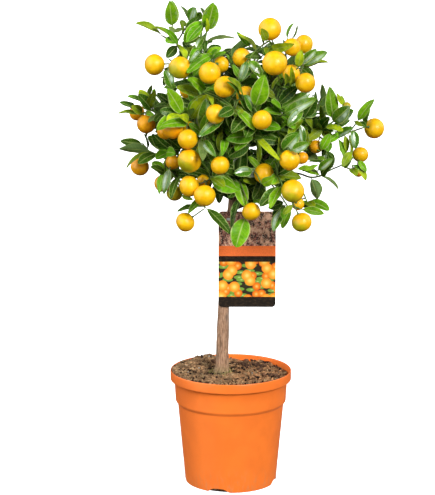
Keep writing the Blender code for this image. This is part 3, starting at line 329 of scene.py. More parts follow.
# The shoots. See Shoot
SHOOTS = [
    Shoot("shoot_top_left", [
        [(-62, -25, 690), (-78, -33, 716), (-87, -38, 732), (-93, -40, 757)],
        [(-87, -38, 732), (-108, -42, 743)],
        [(-87, -38, 732), (-78, -30, 746), (-67, -28, 764)],
        [(-78, -33, 716), (-95, -50, 702)],
    ], [
        (0, 3, (-4, -18, 43), 21, 15, "m"), (1, 1, (-43, -8, 21), 22, 74, "o"),
        (0, 2, (-34, -18, 27), 20, 68, "o"), (0, 2, (-16, -36, 4), 18, 60, "b"),
        (0, 1, (-2, -38, -8), 18, 50, "d"), (0, 2, (14, -30, -26), 18, 58, "l"),
        (2, 2, (8, -15, 25), 15, 45, "s"), (2, 2, (-14, 12, 25), 16, 68, "d"),
        (2, 1, (-4, -14, 20), 12, 60, "o"), (3, 1, (-2, -15, -36), 17, 45, "s"),
    ]),
    Shoot("shoot_top_centre", [
        [(-30, -30, 665), (-38, -45, 690), (-43, -50, 714), (-42, -49, 735), (-39, -45, 750)],
        [(-39, -45, 750), (-43, -47, 764)],
        [(-43, -50, 714), (-30, -62, 710)],
    ], [
        (0, 4, (11, -6, 47), 21, 20, "m"), (1, 1, (-6, 12, 24), 14, 75, "d"),
        (1, 1, (-27, -25, -28), 18, 45, "m"), (0, 3, (48, -12, 6), 20, 72, "g"),
        (2, 1, (-30, -20, -26), 20, 20, "m"), (2, 1, (22, -12, 10), 13, 60, "m"),
        (2, 1, (8, -28, 16), 15, 62, "m"), (0, 3, (-22, -26, -32), 17, 40, "m"),
        (0, 2, (-20, -26, -24), 15, 50, "m"),
    ]),
    Shoot("shoot_top_middle", [
        [(25, -20, 670), (34, -35, 695), (40, -45, 716), (49, -50, 724), (64, -54, 726)],
    ], [
        (0, 2, (-30, -8, 31), 20, 72, "l"), (0, 1, (-3, 15, 40), 17, 75, "d"),
        (0, 3, (-6, -10, 34), 15, 74, "d"), (0, 4, (46, -14, 8), 19, 70, "l"),
        (0, 4, (-10, -30, -8), 14, 50, "o"), (0, 1, (-24, -28, -24), 19, 40, "s"),
        (0, 1, (13, -35, -16), 18, 40, "m"), (0, 1, (-30, -8, -10), 16, 40, "m"),
    ]),
    Shoot("shoot_top_right", [
        [(75, -30, 680), (92, -48, 688), (108, -58, 694), (114, -60, 703)],
        [(92, -48, 688), (86, -42, 714), (88, -38, 738)],
    ], [
        (0, 3, (24, -18, 26), 18, 45, "s"), (0, 3, (34, -8, 12), 18, 72, "l"),
        (0, 2, (-5, -14, 28), 16, 40, "l"), (1, 1, (-4, -14, 24), 15, 140, "o"),
        (0, 1, (6, -26, -28), 14, 60, "d"), (0, 1, (-14, -32, -16), 14, 60, "d"),
        (0, 2, (14, -28, -10), 13, 45, "d"), (1, 2, (0, -6, 27), 13, 80, "g"),
        (1, 2, (11, 8, 25), 13, 80, "m"),
    ]),
    Shoot("shoot_right_high", [
        [(55, -50, 610), (66, -75, 613), (79, -92, 624), (98, -98, 624), (113, -96, 620)],
        [(66, -75, 613), (74, -98, 594), (83, -112, 575)],
        [(79, -92, 624), (70, -92, 645), (76, -94, 668)],
    ], [
        (0, 2, (53, -25, 29), 20, 35, "s"), (0, 4, (20, -4, 34), 21, 20, "d"),
        (0, 4, (-25, -24, -24), 16, 50, "o"), (0, 1, (36, -28, -4), 18, 60, "d"),
        (1, 2, (21, -14, 26), 22, 15, "s"), (1, 1, (20, -30, -8), 16, 60, "o"),
        (1, 1, (4, -26, -34), 17, 70, "o"), (2, 2, (22, -12, 18), 15, 60, "d"),
        (2, 1, (-26, -16, 10), 15, 50, "d"),
    ]),
    Shoot("shoot_right", [
        [(95, -15, 590), (120, -34, 592), (146, -50, 600), (162, -55, 610), (178, -55, 624)],
        [(120, -34, 592), (146, -44, 581), (166, -47, 582), (186, -42, 590), (200, -38, 606)],
        [(186, -42, 590), (204, -36, 595), (214, -33, 598)],
    ], [
        (0, 3, (-8, -8, 56), 22, 15, "m"), (0, 2, (-6, -15, 36), 18, 73, "l"),
        (0, 4, (-4, 10, 26), 14, 76, "l"), (0, 3, (30, -22, 20), 22, 15, "s"),
        (1, 2, (26, -20, 18), 17, 50, "s"), (0, 2, (30, -25, -3), 15, 65, "l"),
        (0, 2, (8, -26, 16), 14, 50, "d"), (0, 1, (11, -30, -20), 16, 45, "o"),
        (0, 1, (-16, -30, -30), 18, 40, "o"), (1, 1, (8, -24, -18), 17, 40, "m"),
        (1, 2, (16, -6, -42), 18, 60, "m"), (1, 4, (27, -8, 38), 18, 40, "b"),
        (1, 3, (2, -14, -40), 17, 62, "o"), (1, 4, (14, -10, -6), 11, 50, "d"),
        (2, 2, (3, -5, 26), 14, 65, "m"),
    ]),
    Shoot("shoot_left_high", [
        [(-80, -25, 625), (-105, -38, 619), (-127, -44, 626), (-137, -45, 636)],
        [(-127, -44, 626), (-144, -40, 619)],
    ], [
        (0, 3, (-28, -8, 13), 18, 74, "m"), (0, 2, (-20, -24, 28), 18, 40, "d"),
        (0, 2, (7, -18, 36), 18, 58, "m"), (0, 1, (-26, -28, -10), 17, 60, "g"),
        (1, 1, (-34, -8, 20), 17, 73, "d"), (1, 1, (-36, -12, 3), 18, 70, "o"),
        (0, 2, (-14, -20, 10), 14, 40, "o"),
    ]),
    Shoot("shoot_left_front", [
        [(-50, -60, 612), (-64, -88, 616), (-76, -104, 626), (-92, -112, 634)],
        [(-50, -60, 612), (-54, -74, 638), (-48, -84, 654), (-41, -88, 662)],
    ], [
        (0, 2, (-24, -20, 44), 22, 20, "b"), (0, 1, (26, -30, 44), 22, 20, "l"),
        (0, 2, (-46, -20, -20), 20, 52, "b"), (0, 2, (-24, -34, -6), 16, 60, "l"),
        (0, 3, (-6, 6, 30), 16, 60, "o"), (1, 2, (-38, -10, 14), 18, 40, "o"),
        (1, 3, (-28, -22, 20), 18, 45, "b"), (1, 3, (10, -30, -18), 13, 50, "o"),
    ]),
    Shoot("shoot_left_low", [
        [(-75, -20, 560), (-100, -35, 556), (-120, -42, 556), (-134, -42, 562)],
        [(-100, -35, 556), (-105, -48, 540), (-106, -54, 526)],
        [(-105, -48, 540), (-88, -60, 518)],
    ], [
        (0, 3, (-47, -10, 4), 22, 150, "g"), (0, 3, (-6, 8, 26), 13, 78, "d"),
        (0, 3, (-33, -18, -27), 18, 65, "o"), (0, 2, (-28, -28, -12), 18, 48, "d"),
        (0, 1, (-20, -32, -5), 18, 50, "m"), (0, 1, (16, -32, 4), 17, 40, "m"),
        (1, 2, (-22, -24, 14), 16, 45, "d"), (1, 2, (-3, -12, -35), 16, 62, "m"),
        (2, 1, (2, -15, -38), 17, 50, "d"),
    ]),
    Shoot("shoot_centre_left", [
        [(-20, -60, 575), (-35, -84, 586), (-44, -96, 593)],
        [(-20, -60, 575), (-12, -88, 606), (-10, -104, 638)],
        [(-10, -104, 638), (4, -136, 640)],
    ], [
        (0, 2, (5, -20, 60), 24, 10, "s"), (0, 2, (35, -30, 33), 18, 48, "d"),
        (0, 2, (-13, -32, -30), 17, 50, "o"), (0, 1, (14, -36, -24), 17, 50, "d"),
        (1, 2, (15, -18, -44), 22, 20, "d"), (2, 1, (-24, -28, 40), 13, 76, "d"),
        (1, 1, (-4, -32, -36), 15, 60, "o"),
    ]),
    Shoot("shoot_centre", [
        [(25, -60, 600), (32, -84, 614), (33, -112, 628), (34, -130, 640)],
        [(32, -84, 614), (37, -98, 592)],
        [(33, -84, 614), (52, -88, 640), (62, -86, 662)],
    ], [
        (0, 3, (16, -20, 54), 27, 5, "b"), (0, 2, (-14, -34, 34), 17, 50, "s"),
        (1, 1, (-46, -30, 0), 22, 15, "m"), (1, 1, (12, -34, 2), 14, 40, "d"),
        (1, 1, (4, -26, -38), 16, 65, "o"), (2, 2, (20, -16, 22), 14, 60, "o"),
        (2, 1, (-24, -18, 24), 15, 50, "d"),
    ]),
    Shoot("shoot_low_left", [
        [(-20, -45, 520), (-29, -76, 520), (-32, -98, 526)],
        [(-29, -76, 520), (-38, -86, 498), (-42, -88, 478)],
    ], [
        (0, 2, (41, -26, -16), 24, 10, "b"), (0, 2, (20, -34, -20), 17, 45, "o"),
        (0, 1, (-48, -6, 20), 18, 50, "d"), (1, 2, (41, -22, -40), 18, 45, "d"),
        (1, 2, (-44, -10, -6), 15, 76, "d"), (1, 1, (-30, -20, -28), 17, 50, "m"),
    ]),
    Shoot("shoot_low_centre", [
        [(8, -40, 500), (12, -70, 516), (11, -84, 524)],
        [(12, -70, 516), (15, -92, 497), (20, -98, 478), (23, -100, 465)],
    ], [
        (0, 2, (11, -26, -36), 22, 15, "b"), (0, 2, (22, -18, 36), 21, 30, "d"),
        (0, 1, (-28, -20, 30), 20, 40, "d"), (1, 1, (-14, -16, -54), 18, 52, "d"),
        (1, 3, (-16, -14, -47), 28, 10, "b"),
    ]),
    Shoot("shoot_low_right_centre", [
        [(45, -35, 515), (50, -72, 527), (73, -108, 529), (80, -112, 514)],
        [(50, -72, 527), (74, -80, 500), (88, -92, 481)],
    ], [
        (0, 1, (-43, -34, 6), 19, 45, "s"), (0, 2, (-26, -24, -6), 18, 40, "l"),
        (0, 3, (-36, -20, -28), 21, 30, "d"), (0, 3, (-18, -26, -34), 18, 40, "b"),
        (1, 2, (-22, -20, -38), 18, 48, "s"), (1, 2, (-6, -28, -18), 15, 40, "m"),
        (1, 1, (20, -24, 24), 17, 50, "d"),
    ]),
    Shoot("shoot_low_right", [
        [
            (70, -15, 520), (95, -45, 526), (110, -58, 526), (126, -60, 521), (142, -58, 523),
            (156, -55, 531), (176, -50, 539),
        ],
        [(176, -50, 539), (190, -45, 532), (200, -42, 535)],
        [(95, -45, 526), (112, -62, 502), (120, -74, 484)],
    ], [
        (0, 4, (-38, -30, 15), 18, 58, "b"), (0, 3, (11, -26, -30), 21, 160, "g"),
        (0, 4, (28, -12, -20), 16, 75, "g"), (0, 4, (17, -26, 24), 18, 45, "d"),
        (0, 5, (-4, -20, 30), 17, 40, "d"), (0, 5, (-34, -16, 17), 15, 76, "d"),
        (0, 6, (14, -26, 14), 16, 30, "m"), (0, 6, (20, 6, 12), 14, 50, "m"),
        (1, 2, (14, -16, -20), 13, 50, "l"), (1, 1, (8, -22, -8), 13, 40, "o"),
        (2, 2, (10, -30, -4), 15, 50, "o"), (2, 2, (34, -24, -10), 18, 48, "m"),
        (0, 1, (-20, -24, -16), 18, 35, "d"),
    ]),
    Shoot("shoot_back_high_left", [
        [(-60, 45, 660), (-78, 62, 676), (-92, 80, 688), (-102, 94, 694)],
        [(-78, 62, 676), (-62, 90, 690)],
    ], [
        
    ], 11),
    Shoot("shoot_back_high", [
        [(5, 60, 670), (2, 78, 688), (0, 94, 702), (4, 104, 712)],
        [(2, 78, 688), (-22, 100, 694)],
    ], [
        
    ], 11),
    Shoot("shoot_back_high_right", [
        [(75, 50, 665), (92, 66, 678), (106, 84, 688), (116, 98, 694)],
        [(92, 66, 678), (74, 98, 690)],
    ], [
        
    ], 11),
    Shoot("shoot_back_left", [
        [(-80, 26, 590), (-102, 32, 600), (-120, 38, 608), (-130, 40, 620)],
        [(-102, 32, 600), (-104, 66, 606)],
    ], [
        
    ], 11),
    Shoot("shoot_back", [
        [(15, 80, 590), (14, 108, 604), (16, 132, 618), (20, 150, 624)],
        [(14, 108, 604), (-22, 130, 610)],
    ], [
        
    ], 11),
    Shoot("shoot_back_right", [
        [(100, 34, 590), (118, 42, 600), (134, 48, 608), (146, 50, 618)],
        [(118, 42, 600), (118, 78, 608)],
    ], [
        
    ], 11),
    Shoot("shoot_back_low_left", [
        [(-45, 50, 530), (-60, 72, 524), (-74, 92, 520), (-84, 108, 516)],
        [(-60, 72, 524), (-32, 100, 518)],
    ], [
        
    ], 11),
    Shoot("shoot_back_low_right", [
        [(60, 50, 525), (76, 70, 522), (92, 88, 520), (106, 102, 514)],
        [(76, 70, 522), (48, 98, 510)],
    ], [
        
    ], 11),
]
# Leaves on side twigs: x, y and z of the base and of the tip, width, roll and tone. See Leaf and Shoot
SIDE_LEAVES = [
    (-66, -28, 766, -57, -32, 788, 15, 10, "s"), (-40, -47, 769, -74, -59, 735, 22, 0, "b"),
    (-39, -45, 751, -27, -55, 797, 25, 0, "b"), (-93, -40, 758, -93, -48, 799, 21, 0, "b"),
    (-62, -29, 747, -45, -29, 761, 15, 10, "d"), (-56, -28, 766, -48, -28, 780, 13, 10, "m"),
    (-39, -50, 724, -16, -50, 727, 10, 30, "d"), (-45, -48, 741, -75, -48, 732, 13, 30, "d"),
    (-39, -45, 748, -45, -59, 776, 10, 35, "l"), (-71, -29, 757, -81, -29, 767, 8, 20, "o"),
    (-45, -49, 742, -56, -60, 723, 10, 20, "s"), (-41, -48, 738, -43, -72, 718, 10, 30, "d"),
    (-48, -50, 720, -64, -122, 709, 13, 20, "s"), (-42, -51, 714, -15, -59, 726, 13, 25, "b"),
    (-16, 98, 701, 3, 92, 711, 10, 30, "d"), (-29, -62, 715, -60, -132, 693, 17, 15, "m"),
    (-42, -88, 661, -69, -121, 687, 15, 20, "b"), (-52, 37, 653, -93, 37, 661, 16, 15, "d"),
    (-73, -34, 725, -58, -34, 713, 10, 10, "o"), (-85, -37, 729, -103, -42, 709, 15, 10, "d"),
    (-92, -113, 668, -104, -118, 697, 16, 20, "s"), (-66, -32, 719, -78, -32, 735, 10, 20, "d"),
    (-51, -25, 693, -67, -26, 680, 10, 20, "m"), (-73, -35, 745, -49, -36, 774, 15, 10, "d"),
    (-84, -36, 727, -114, -60, 758, 11, 25, "m"), (-91, -39, 750, -77, -45, 755, 7, 20, "g"),
    (54, -101, 740, 43, -112, 762, 14, 20, "o"),
    (25, -87, 710, 13, -97, 678, 13, 20, "s"), (25, -87, 710, 46, -95, 689, 15, 25, "s"),
    (23, -38, 705, 3, -43, 684, 13, 15, "d"), (48, -43, 709, 13, -91, 715, 13, 35, "d"),
    (-5, 67, 676, -15, 65, 695, 8, 20, "m"), (13, -92, 681, 1, -94, 704, 10, 30, "m"),
    (62, -54, 726, 107, -129, 739, 15, 0, "l"), (102, -122, 701, 107, -127, 729, 14, 10, "l"),
    (105, -92, 701, 132, -96, 728, 13, 25, "s"), (108, -58, 694, 138, -48, 705, 10, 30, "o"),
    (80, -94, 673, 72, -172, 707, 11, 30, "l"), (92, -106, 671, 90, -154, 707, 10, 30, "l"),
    (74, -92, 634, 123, -98, 660, 18, 8, "s"), (77, -92, 628, 128, -107, 653, 15, 25, "b"),
    (76, -92, 630, 58, -99, 653, 13, 15, "m"), (33, -116, 630, 14, -142, 663, 16, 15, "s"),
    (65, 93, 686, 51, 86, 716, 11, 20, "d"), (48, -50, 723, 70, -46, 733, 8, 20, "d"),
    (-44, -86, 659, -50, -96, 598, 21, 12, "s"), (-41, -88, 662, -29, -155, 646, 9, 25, "l"),
    (-11, -98, 625, -43, -158, 599, 16, 15, "s"),
    (11, -140, 655, -20, -174, 685, 10, 40, "m"),
    (-17, -12, 631, 5, -14, 594, 16, 15, "m"), (14, 1, 622, -8, -3, 633, 13, 20, "d"),
    (-9, -92, 587, 30, -96, 587, 20, 8, "b"), (-10, -92, 587, -15, -161, 570, 13, 20, "b"),
    (-48, -107, 586, -54, -173, 564, 15, 10, "g"), (-43, -103, 587, -24, -174, 570, 14, 15, "s"),
    (32, -99, 581, -6, -99, 559, 21, 10, "d"), (19, -137, 652, -21, -174, 688, 13, 62, "o"),
    (-38, -87, 657, -70, -91, 631, 15, 5, "o"), (-57, -70, 615, -64, -74, 641, 13, 20, "o"),
    (-68, -103, 616, -106, -138, 631, 13, 15, "l"), (-68, -108, 612, -122, -152, 613, 15, 25, "b"),
    (-84, -108, 630, -108, -126, 635, 15, 10, "d"), (-87, -30, 641, -101, -33, 622, 13, 20, "m"),
    (-96, -28, 576, -80, -28, 562, 15, 10, "d"), (-79, -21, 577, -108, -21, 580, 15, 10, "d"),
    (111, -106, 637, 84, -119, 612, 16, 15, "s"), (106, 38, 594, 57, 20, 590, 15, 20, "m"),
    (107, -97, 613, 112, -101, 577, 12, 20, "s"), (36, -95, 596, 74, -163, 563, 10, 20, "l"),
    (77, -114, 571, 103, -122, 600, 22, 0, "s"), (90, -165, 578, 117, -173, 592, 15, 10, "s"),
    (55, -44, 591, 96, -48, 587, 13, 20, "o"), (44, -99, 589, 77, -99, 583, 15, 15, "d"),
    (134, 49, 640, 120, 45, 594, 18, 10, "o"), (118, -58, 563, 114, -79, 609, 13, 15, "o"),
    (32, -6, 552, 56, -8, 531, 13, 10, "d"), (66, -8, 549, 83, -11, 572, 13, 10, "d"),
    (34, -108, 539, 3, -122, 537, 16, 20, "s"), (70, -104, 530, 45, -138, 524, 15, 10, "b"),
    (108, 29, 591, 73, 22, 571, 15, 15, "d"), (110, -27, 576, 129, -25, 597, 13, 15, "m"),
    (46, -131, 522, 68, -154, 536, 15, 0, "b"), (143, -48, 599, 141, -52, 635, 8, 25, "l"),
    (149, 50, 608, 179, 48, 616, 13, 20, "o"), (176, -64, 635, 170, -73, 655, 7, 30, "l"),
    (159, -54, 608, 189, -77, 637, 22, 0, "s"), (143, -48, 599, 159, -82, 620, 15, 10, "d"),
    (156, -52, 597, 188, -56, 612, 11, 25, "d"), (189, -40, 600, 162, -44, 582, 13, 0, "s"),
    (192, -40, 596, 196, -44, 564, 15, 20, "s"), (180, -44, 588, 183, -50, 559, 11, 25, "o"),
    (213, -32, 607, 218, -32, 633, 11, 30, "b"), (195, -43, 609, 209, -48, 601, 7, 10, "o"),
    (146, -50, 600, 117, -56, 579, 16, 0, "o"), (140, -73, 565, 155, -77, 593, 14, 15, "b"),
    (174, -44, 590, 145, -70, 576, 11, 10, "b"), (118, -38, 563, 139, -38, 542, 15, 10, "g"),
    (148, -44, 562, 164, -44, 540, 15, 10, "d"), (136, -68, 532, 162, -77, 554, 13, 20, "s"),
    (191, -64, 564, 174, -83, 541, 13, 10, "o"), (125, 104, 524, 170, 104, 526, 8, 35, "b"),
    (134, 46, 597, 143, 46, 573, 13, 15, "o"), (165, -47, 577, 142, -47, 593, 13, 10, "o"),
    (-129, -44, 634, -147, -48, 659, 18, 5, "l"), (-131, -44, 630, -123, -64, 668, 13, 15, "o"),
    (-118, 36, 599, -137, -60, 611, 11, 10, "g"), (-141, -41, 620, -161, -48, 635, 13, 15, "o"),
    (-106, -53, 529, -126, -57, 545, 16, 10, "b"), (-97, -74, 540, -107, -78, 496, 15, 25, "s"),
    (-80, -60, 523, -85, -126, 496, 13, 20, "d"), (-37, 3, 516, -98, 3, 513, 18, 20, "d"),
    (-29, -100, 529, 8, -110, 507, 24, 0, "b"), (35, 3, 479, 64, 3, 469, 18, 10, "d"),
    (109, -102, 477, 146, -105, 469, 13, 10, "m"), (107, -70, 484, 127, -70, 473, 11, 10, "m"),
    (84, -88, 487, 58, -88, 476, 15, 10, "d"), (87, -91, 483, 63, -89, 462, 15, 10, "d"),
    (95, -93, 479, 80, -93, 444, 13, 15, "m"), (95, -144, 492, 79, -148, 477, 10, 10, "o"),
    (-141, -42, 573, -177, -45, 577, 13, 10, "d"), (-87, -41, 750, -99, -44, 758, 7, 10, "g"),
    (31, -45, 725, 9, -48, 751, 8, 20, "m"), (193, -44, 538, 216, -47, 532, 8, 20, "m"),
    (202, -46, 547, 216, -49, 528, 10, 15, "b"), (112, -92, 536, 136, -94, 546, 7, 20, "b"),
    (118, 80, 609, 97, 80, 593, 15, 10, "d"), (165, -46, 593, 141, -48, 597, 10, 15, "m"),
    (151, -45, 569, 145, -47, 552, 8, 10, "d"), (-85, 55, 655, -110, 55, 651, 10, 15, "m"),
    (-96, -54, 529, -95, -54, 514, 7, 15, "o"), (-78, -83, 495, -60, -119, 495, 8, 10, "o"),
    (-136, -42, 622, -119, -52, 619, 8, 10, "m"), (-85, -28, 549, -119, -28, 554, 13, 20, "d"),
    (-49, -4, 694, -66, 30, 700, 18, 100, "m"), (-49, -4, 694, -22, 18, 712, 18, 90, "d"),
    (-48, 5, 708, -78, 24, 726, 18, 90, "m"), (-48, 5, 708, -38, 8, 746, 17, 60, "d"),
    (-48, 14, 722, -58, 36, 756, 18, 100, "m"), (-48, 14, 722, -30, 44, 726, 18, 110, "d"),
    (59, -6, 692, 84, 20, 700, 18, 90, "m"), (59, -6, 692, 40, 28, 694, 18, 90, "d"),
    (60, 2, 708, 36, 26, 722, 18, 90, "m"), (60, 2, 708, 88, 22, 720, 18, 100, "d"),
    (61, 12, 728, 52, 44, 752, 17, 110, "m"), (61, 12, 728, 74, 40, 748, 17, 100, "d"),
    (3, 31, 686, -24, 40, 692, 18, 90, "m"), (3, 31, 686, 24, 30, 700, 17, 70, "d"),
    (2, 28, 700, -14, 48, 712, 17, 100, "d"), (2, 28, 700, 20, 52, 708, 17, 100, "m"),
]


# Placing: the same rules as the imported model's, so that each leaf, stem and fruit comes to the same place


def leaf_shape(leaf, grow=0.0, first=0.0):
    """Points and faces of a plain leaf that stands for the real one where leaves are tested for touching."""
    axis = leaf.tip - leaf.base
    length = axis.length
    along = axis.normalized()
    across = along.cross(leaf.normal).normalized()
    normal = across.cross(along).normalized()
    points = []
    for share, width in zip(LEAF_SHARES, LEAF_WIDTHS):
        share = first + share * (1.0 - first)
        rise = LEAF_ARCH * length * 4 * share * (1 - share)
        middle = leaf.base + along * (length * share) + normal * rise
        half = max(PETIOLE_HALF_WIDTH, width * leaf.width / 2) + grow
        points.append(middle + across * half + normal * (LEAF_HALF_THICKNESS + grow))
        points.append(middle - across * half + normal * (LEAF_HALF_THICKNESS + grow))
        points.append(middle - normal * (LEAF_KEEL + grow))
    points.append(leaf.tip + along * grow)
    faces = [(2, 1, 0)]
    for low in range(0, 3 * len(LEAF_SHARES) - 3, 3):
        faces += [(low + i, low + (i + 1) % 3, low + 3 + (i + 1) % 3, low + 3 + i) for i in range(3)]
    last = 3 * (len(LEAF_SHARES) - 1)
    faces += [(last + i, last + (i + 1) % 3, last + 3) for i in range(3)]
    return points, faces


def leaf_normal(along, roll):
    """Which way the upper side faces. See Shoot."""
    front = Vector((0, -1, 0))
    if abs(along.dot(front)) > 0.97:
        front = Vector((0, 0, 1))
    face = (front - along * front.dot(along)).normalized()
    side = along.cross(face)
    if side.z < -0.05 or (abs(side.z) <= 0.05 and side.x < 0):
        side = -side
    angle = math.radians(roll)
    return face * math.cos(angle) + side * math.sin(angle)


def prism(start, end, radius):
    """Points and faces of a six-sided bar, used to test whether things touch."""
    axis = (end - start).normalized()
    side = axis.orthogonal().normalized()
    other = axis.cross(side)
    turns = [math.radians(60 * i) for i in range(6)]
    ring = [(side * math.cos(turn) + other * math.sin(turn)) * radius for turn in turns]
    points = [centre + spoke for centre in (start, end) for spoke in ring]
    faces = [(i, (i + 1) % 6, 6 + (i + 1) % 6, 6 + i) for i in range(6)]
    return points, faces + [tuple(range(6)), tuple(range(6, 12))]


def ball(centre, radius):
    """Points and faces of a ball, used to test whether things touch."""
    shape = bmesh.new()
    bmesh.ops.create_icosphere(shape, subdivisions=2, radius=radius, matrix=Matrix.Translation(centre))
    points = [v.co.copy() for v in shape.verts]
    faces = [tuple(v.index for v in f.verts) for f in shape.faces]
    shape.free()
    return points, faces


def extent(points):
    """The middle of some points, and how far they reach from it."""
    centre = sum(points, Vector()) / len(points)
    return centre, max((p - centre).length for p in points)


class Space:
    """What already stands in the crown. It tells whether a new shape would touch any of it."""

    def __init__(self):
        self.things = []

    def add(self, owner, shape):
        self.things.append((owner, BVHTree.FromPolygons(*shape), *extent(shape[0])))

    def touches(self, shape, own, owner):
        """True if shape touches another's thing, or own, its part away from the stem, touches the owner's."""
        centre, reach = extent(shape[0])
        whole = BVHTree.FromPolygons(*shape)
        blade = BVHTree.FromPolygons(*own)
        for other, tree, middle, size in self.things:
            if (middle - centre).length > reach + size:
                continue
            if (blade if other == owner else whole).overlap(tree):
                return True
        return False


# How a leaf without room is turned and tilted, in degrees, and scaled, in the order of trying
NUDGES = [(0, 0, 1.0)] + [
    (turn, tilt, scale)
    for scale in (1.0, 0.88, 0.76)
    for size in (8, 16, 26, 38)
    for turn, tilt in ((size, 0), (-size, 0), (0, size), (0, -size), (size, size), (-size, -size))
]


def in_crown(point):
    """True inside the clipped round outline that the tree is kept to."""
    offset = point - CROWN_CENTRE
    return sum((offset[i] / CROWN_REACH[i]) ** 2 for i in range(3)) < 1.0


def place_leaf(space, owner, bases, tip, normal, width, clipped=False):
    """Adds a leaf where it touches nothing: as given, turned a little, or shorter. None if there's no room.

    Its petiole starts at the first of the bases that lets it. A clipped leaf stays inside the outline.
    """
    across = (tip - bases[0]).cross(normal).normalized()
    for turn, tilt, scale in NUDGES:
        spin = Matrix.Rotation(math.radians(turn), 3, "Z") @ Matrix.Rotation(math.radians(tilt), 3, across)
        for base in bases:
            reach = spin @ (tip - base) * scale
            leaf = Leaf(base, base + reach, spin @ normal, width * (0.5 + 0.5 * scale))
            if clipped and not in_crown(leaf.tip):
                continue
            blade = leaf_shape(leaf, LEAF_MARGIN, BLADE_START)
            if not space.touches(leaf_shape(leaf, LEAF_MARGIN), blade, owner):
                space.add(owner, leaf_shape(leaf, TEST_MARGIN))
                return leaf
    return None


def bases_near(points, index):
    """A twig's point, and points a little way along it on both sides, where a petiole may start."""
    here = points[index]
    bases = [here]
    for shift in BASE_SHIFTS:
        for other in points[max(0, index - 1) : index] + points[index + 1 : index + 2]:
            if (other - here).length > shift:
                bases.append(here + (other - here).normalized() * shift)
    return bases


def wild_leaf(points, index, rng):
    """Bases, tip, normal and width of a leaf that grows by rule, by the golden angle round the stem."""
    run = rng.uniform(0.25, 1.0) + index % (len(points) - 1)
    step = min(int(run), len(points) - 2)
    start, end = points[step], points[step + 1]
    base = start + (end - start) * min(run - step, 1.0)
    stem = (end - start).normalized()
    outward = (base - CROWN_CENTRE).normalized()
    side = stem.orthogonal().normalized()
    round_stem = Matrix.Rotation(math.radians(GOLDEN_ANGLE * index), 3, stem) @ side
    along = (stem * 0.5 + round_stem * 0.9 + outward * 0.5 + Vector((0, 0, 0.1))).normalized()
    length = rng.uniform(*WILD_LENGTHS)
    hint = (Vector((0, 0, 0.8)) + outward * 0.7 + Vector((rng.uniform(-0.5, 0.5), rng.uniform(-0.5, 0.5), 0)))
    normal = (hint - along * hint.dot(along)).normalized()
    return [base], base + along * length, normal, length * rng.uniform(*WILD_WIDTHS)


def limb_radii(count, first, last):
    """Radii at the points of a tapering limb."""
    return [first + (last - first) * i / (count - 1) for i in range(count)]


def limb_ends():
    """For each shoot's foot, the direction in which its limb ends."""
    return {tuple(p[-1]): (Vector(p[-1]) - Vector(p[-2])).normalized() for p, _, _ in LIMBS}


def stem_points(twig, main, ends):
    """A twig's points. The main stem starts just past its limb's end, and a twig ends past its last leaf."""
    points = [Vector(p) for p in twig]
    foot = tuple(twig[0])
    if foot in ends:
        points[0] += ends[foot] * FOOT_RUN
    if main:
        points.insert(0, Vector(foot) + ends[foot] * CLEARANCE)
    points.append(points[-1] + (points[-1] - points[-2]).normalized() * STEM_OVERRUN)
    return points


def stem_radii(count, main):
    """Radii along a twig, thinner towards its end."""
    start = STEM_RADIUS if main else TWIG_RADIUS
    return [start + (TWIG_RADIUS * 0.85 - start) * i / (count - 1) for i in range(count)]


def skeleton_runs(ends):
    """Every straight run of the wood and of the shoots' stems, with its owner and the radius at each end."""
    lines = [("wood", [Vector(p) for p, _ in TRUNK], [r for _, r in TRUNK])]
    for points, first, last in LIMBS:
        lines.append(("wood", [Vector(p) for p in points], limb_radii(len(points), first, last)))
    for shoot in SHOOTS:
        for number, twig in enumerate(shoot.twigs):
            points = stem_points(twig, number == 0, ends)
            lines.append((shoot.name, points, stem_radii(len(points), number == 0)))
    return [(o, p[i], p[i + 1], r[i], r[i + 1]) for o, p, r in lines for i in range(len(p) - 1)]


def nearest_on_run(point, run):
    """The nearest point of a run's axis and the radius there."""
    _, start, end, first, last = run
    axis = end - start
    share = max(0.0, min(1.0, (point - start).dot(axis) / axis.length_squared))
    return start + axis * share, first + (last - first) * share


def settle_fruits(runs):
    """The fruits' centres, each moved out of any stem or fruit that it would touch."""
    settled = []
    placed = []
    for cluster in FRUITS:
        group = []
        for x, y, z, radius in cluster:
            centre = Vector((x, y, z))
            for _ in range(SETTLE_ROUNDS):
                moved = False
                for run in runs:
                    point, thickness = nearest_on_run(centre, run)
                    gap = (centre - point).length - radius - thickness
                    if gap < STEM_GAP:
                        centre += (centre - point).normalized() * (STEM_GAP + PUSH - gap)
                        moved = True
                for other, size in placed:
                    gap = (centre - other).length - radius - size
                    if gap < FRUIT_GAP:
                        centre += (centre - other).normalized() * (FRUIT_GAP + PUSH - gap)
                        moved = True
                if not moved:
                    break
            group.append((centre, radius))
            placed.append((centre, radius))
        settled.append(group)
    return settled, placed


def way_is_clear(start, end, runs, fruits, skip):
    """True if a stalk from start to end passes every stem and every fruit but those in skip."""
    steps = max(2, int((end - start).length / 2))
    for i in range(steps + 1):
        point = start + (end - start) * (i / steps)
        for run in runs:
            near, thickness = nearest_on_run(point, run)
            allowed = thickness + STALK_RADIUS + STALK_GAP
            if (end - point).length < SEAT_REACH:
                allowed = thickness * SEAT_SHARE + SEAT_GAP * 0.8
            if (point - near).length < allowed:
                return False
        for centre, radius in fruits:
            if (centre, radius) not in skip and (point - centre).length < radius + STALK_RADIUS + STALK_GAP:
                return False
    return True


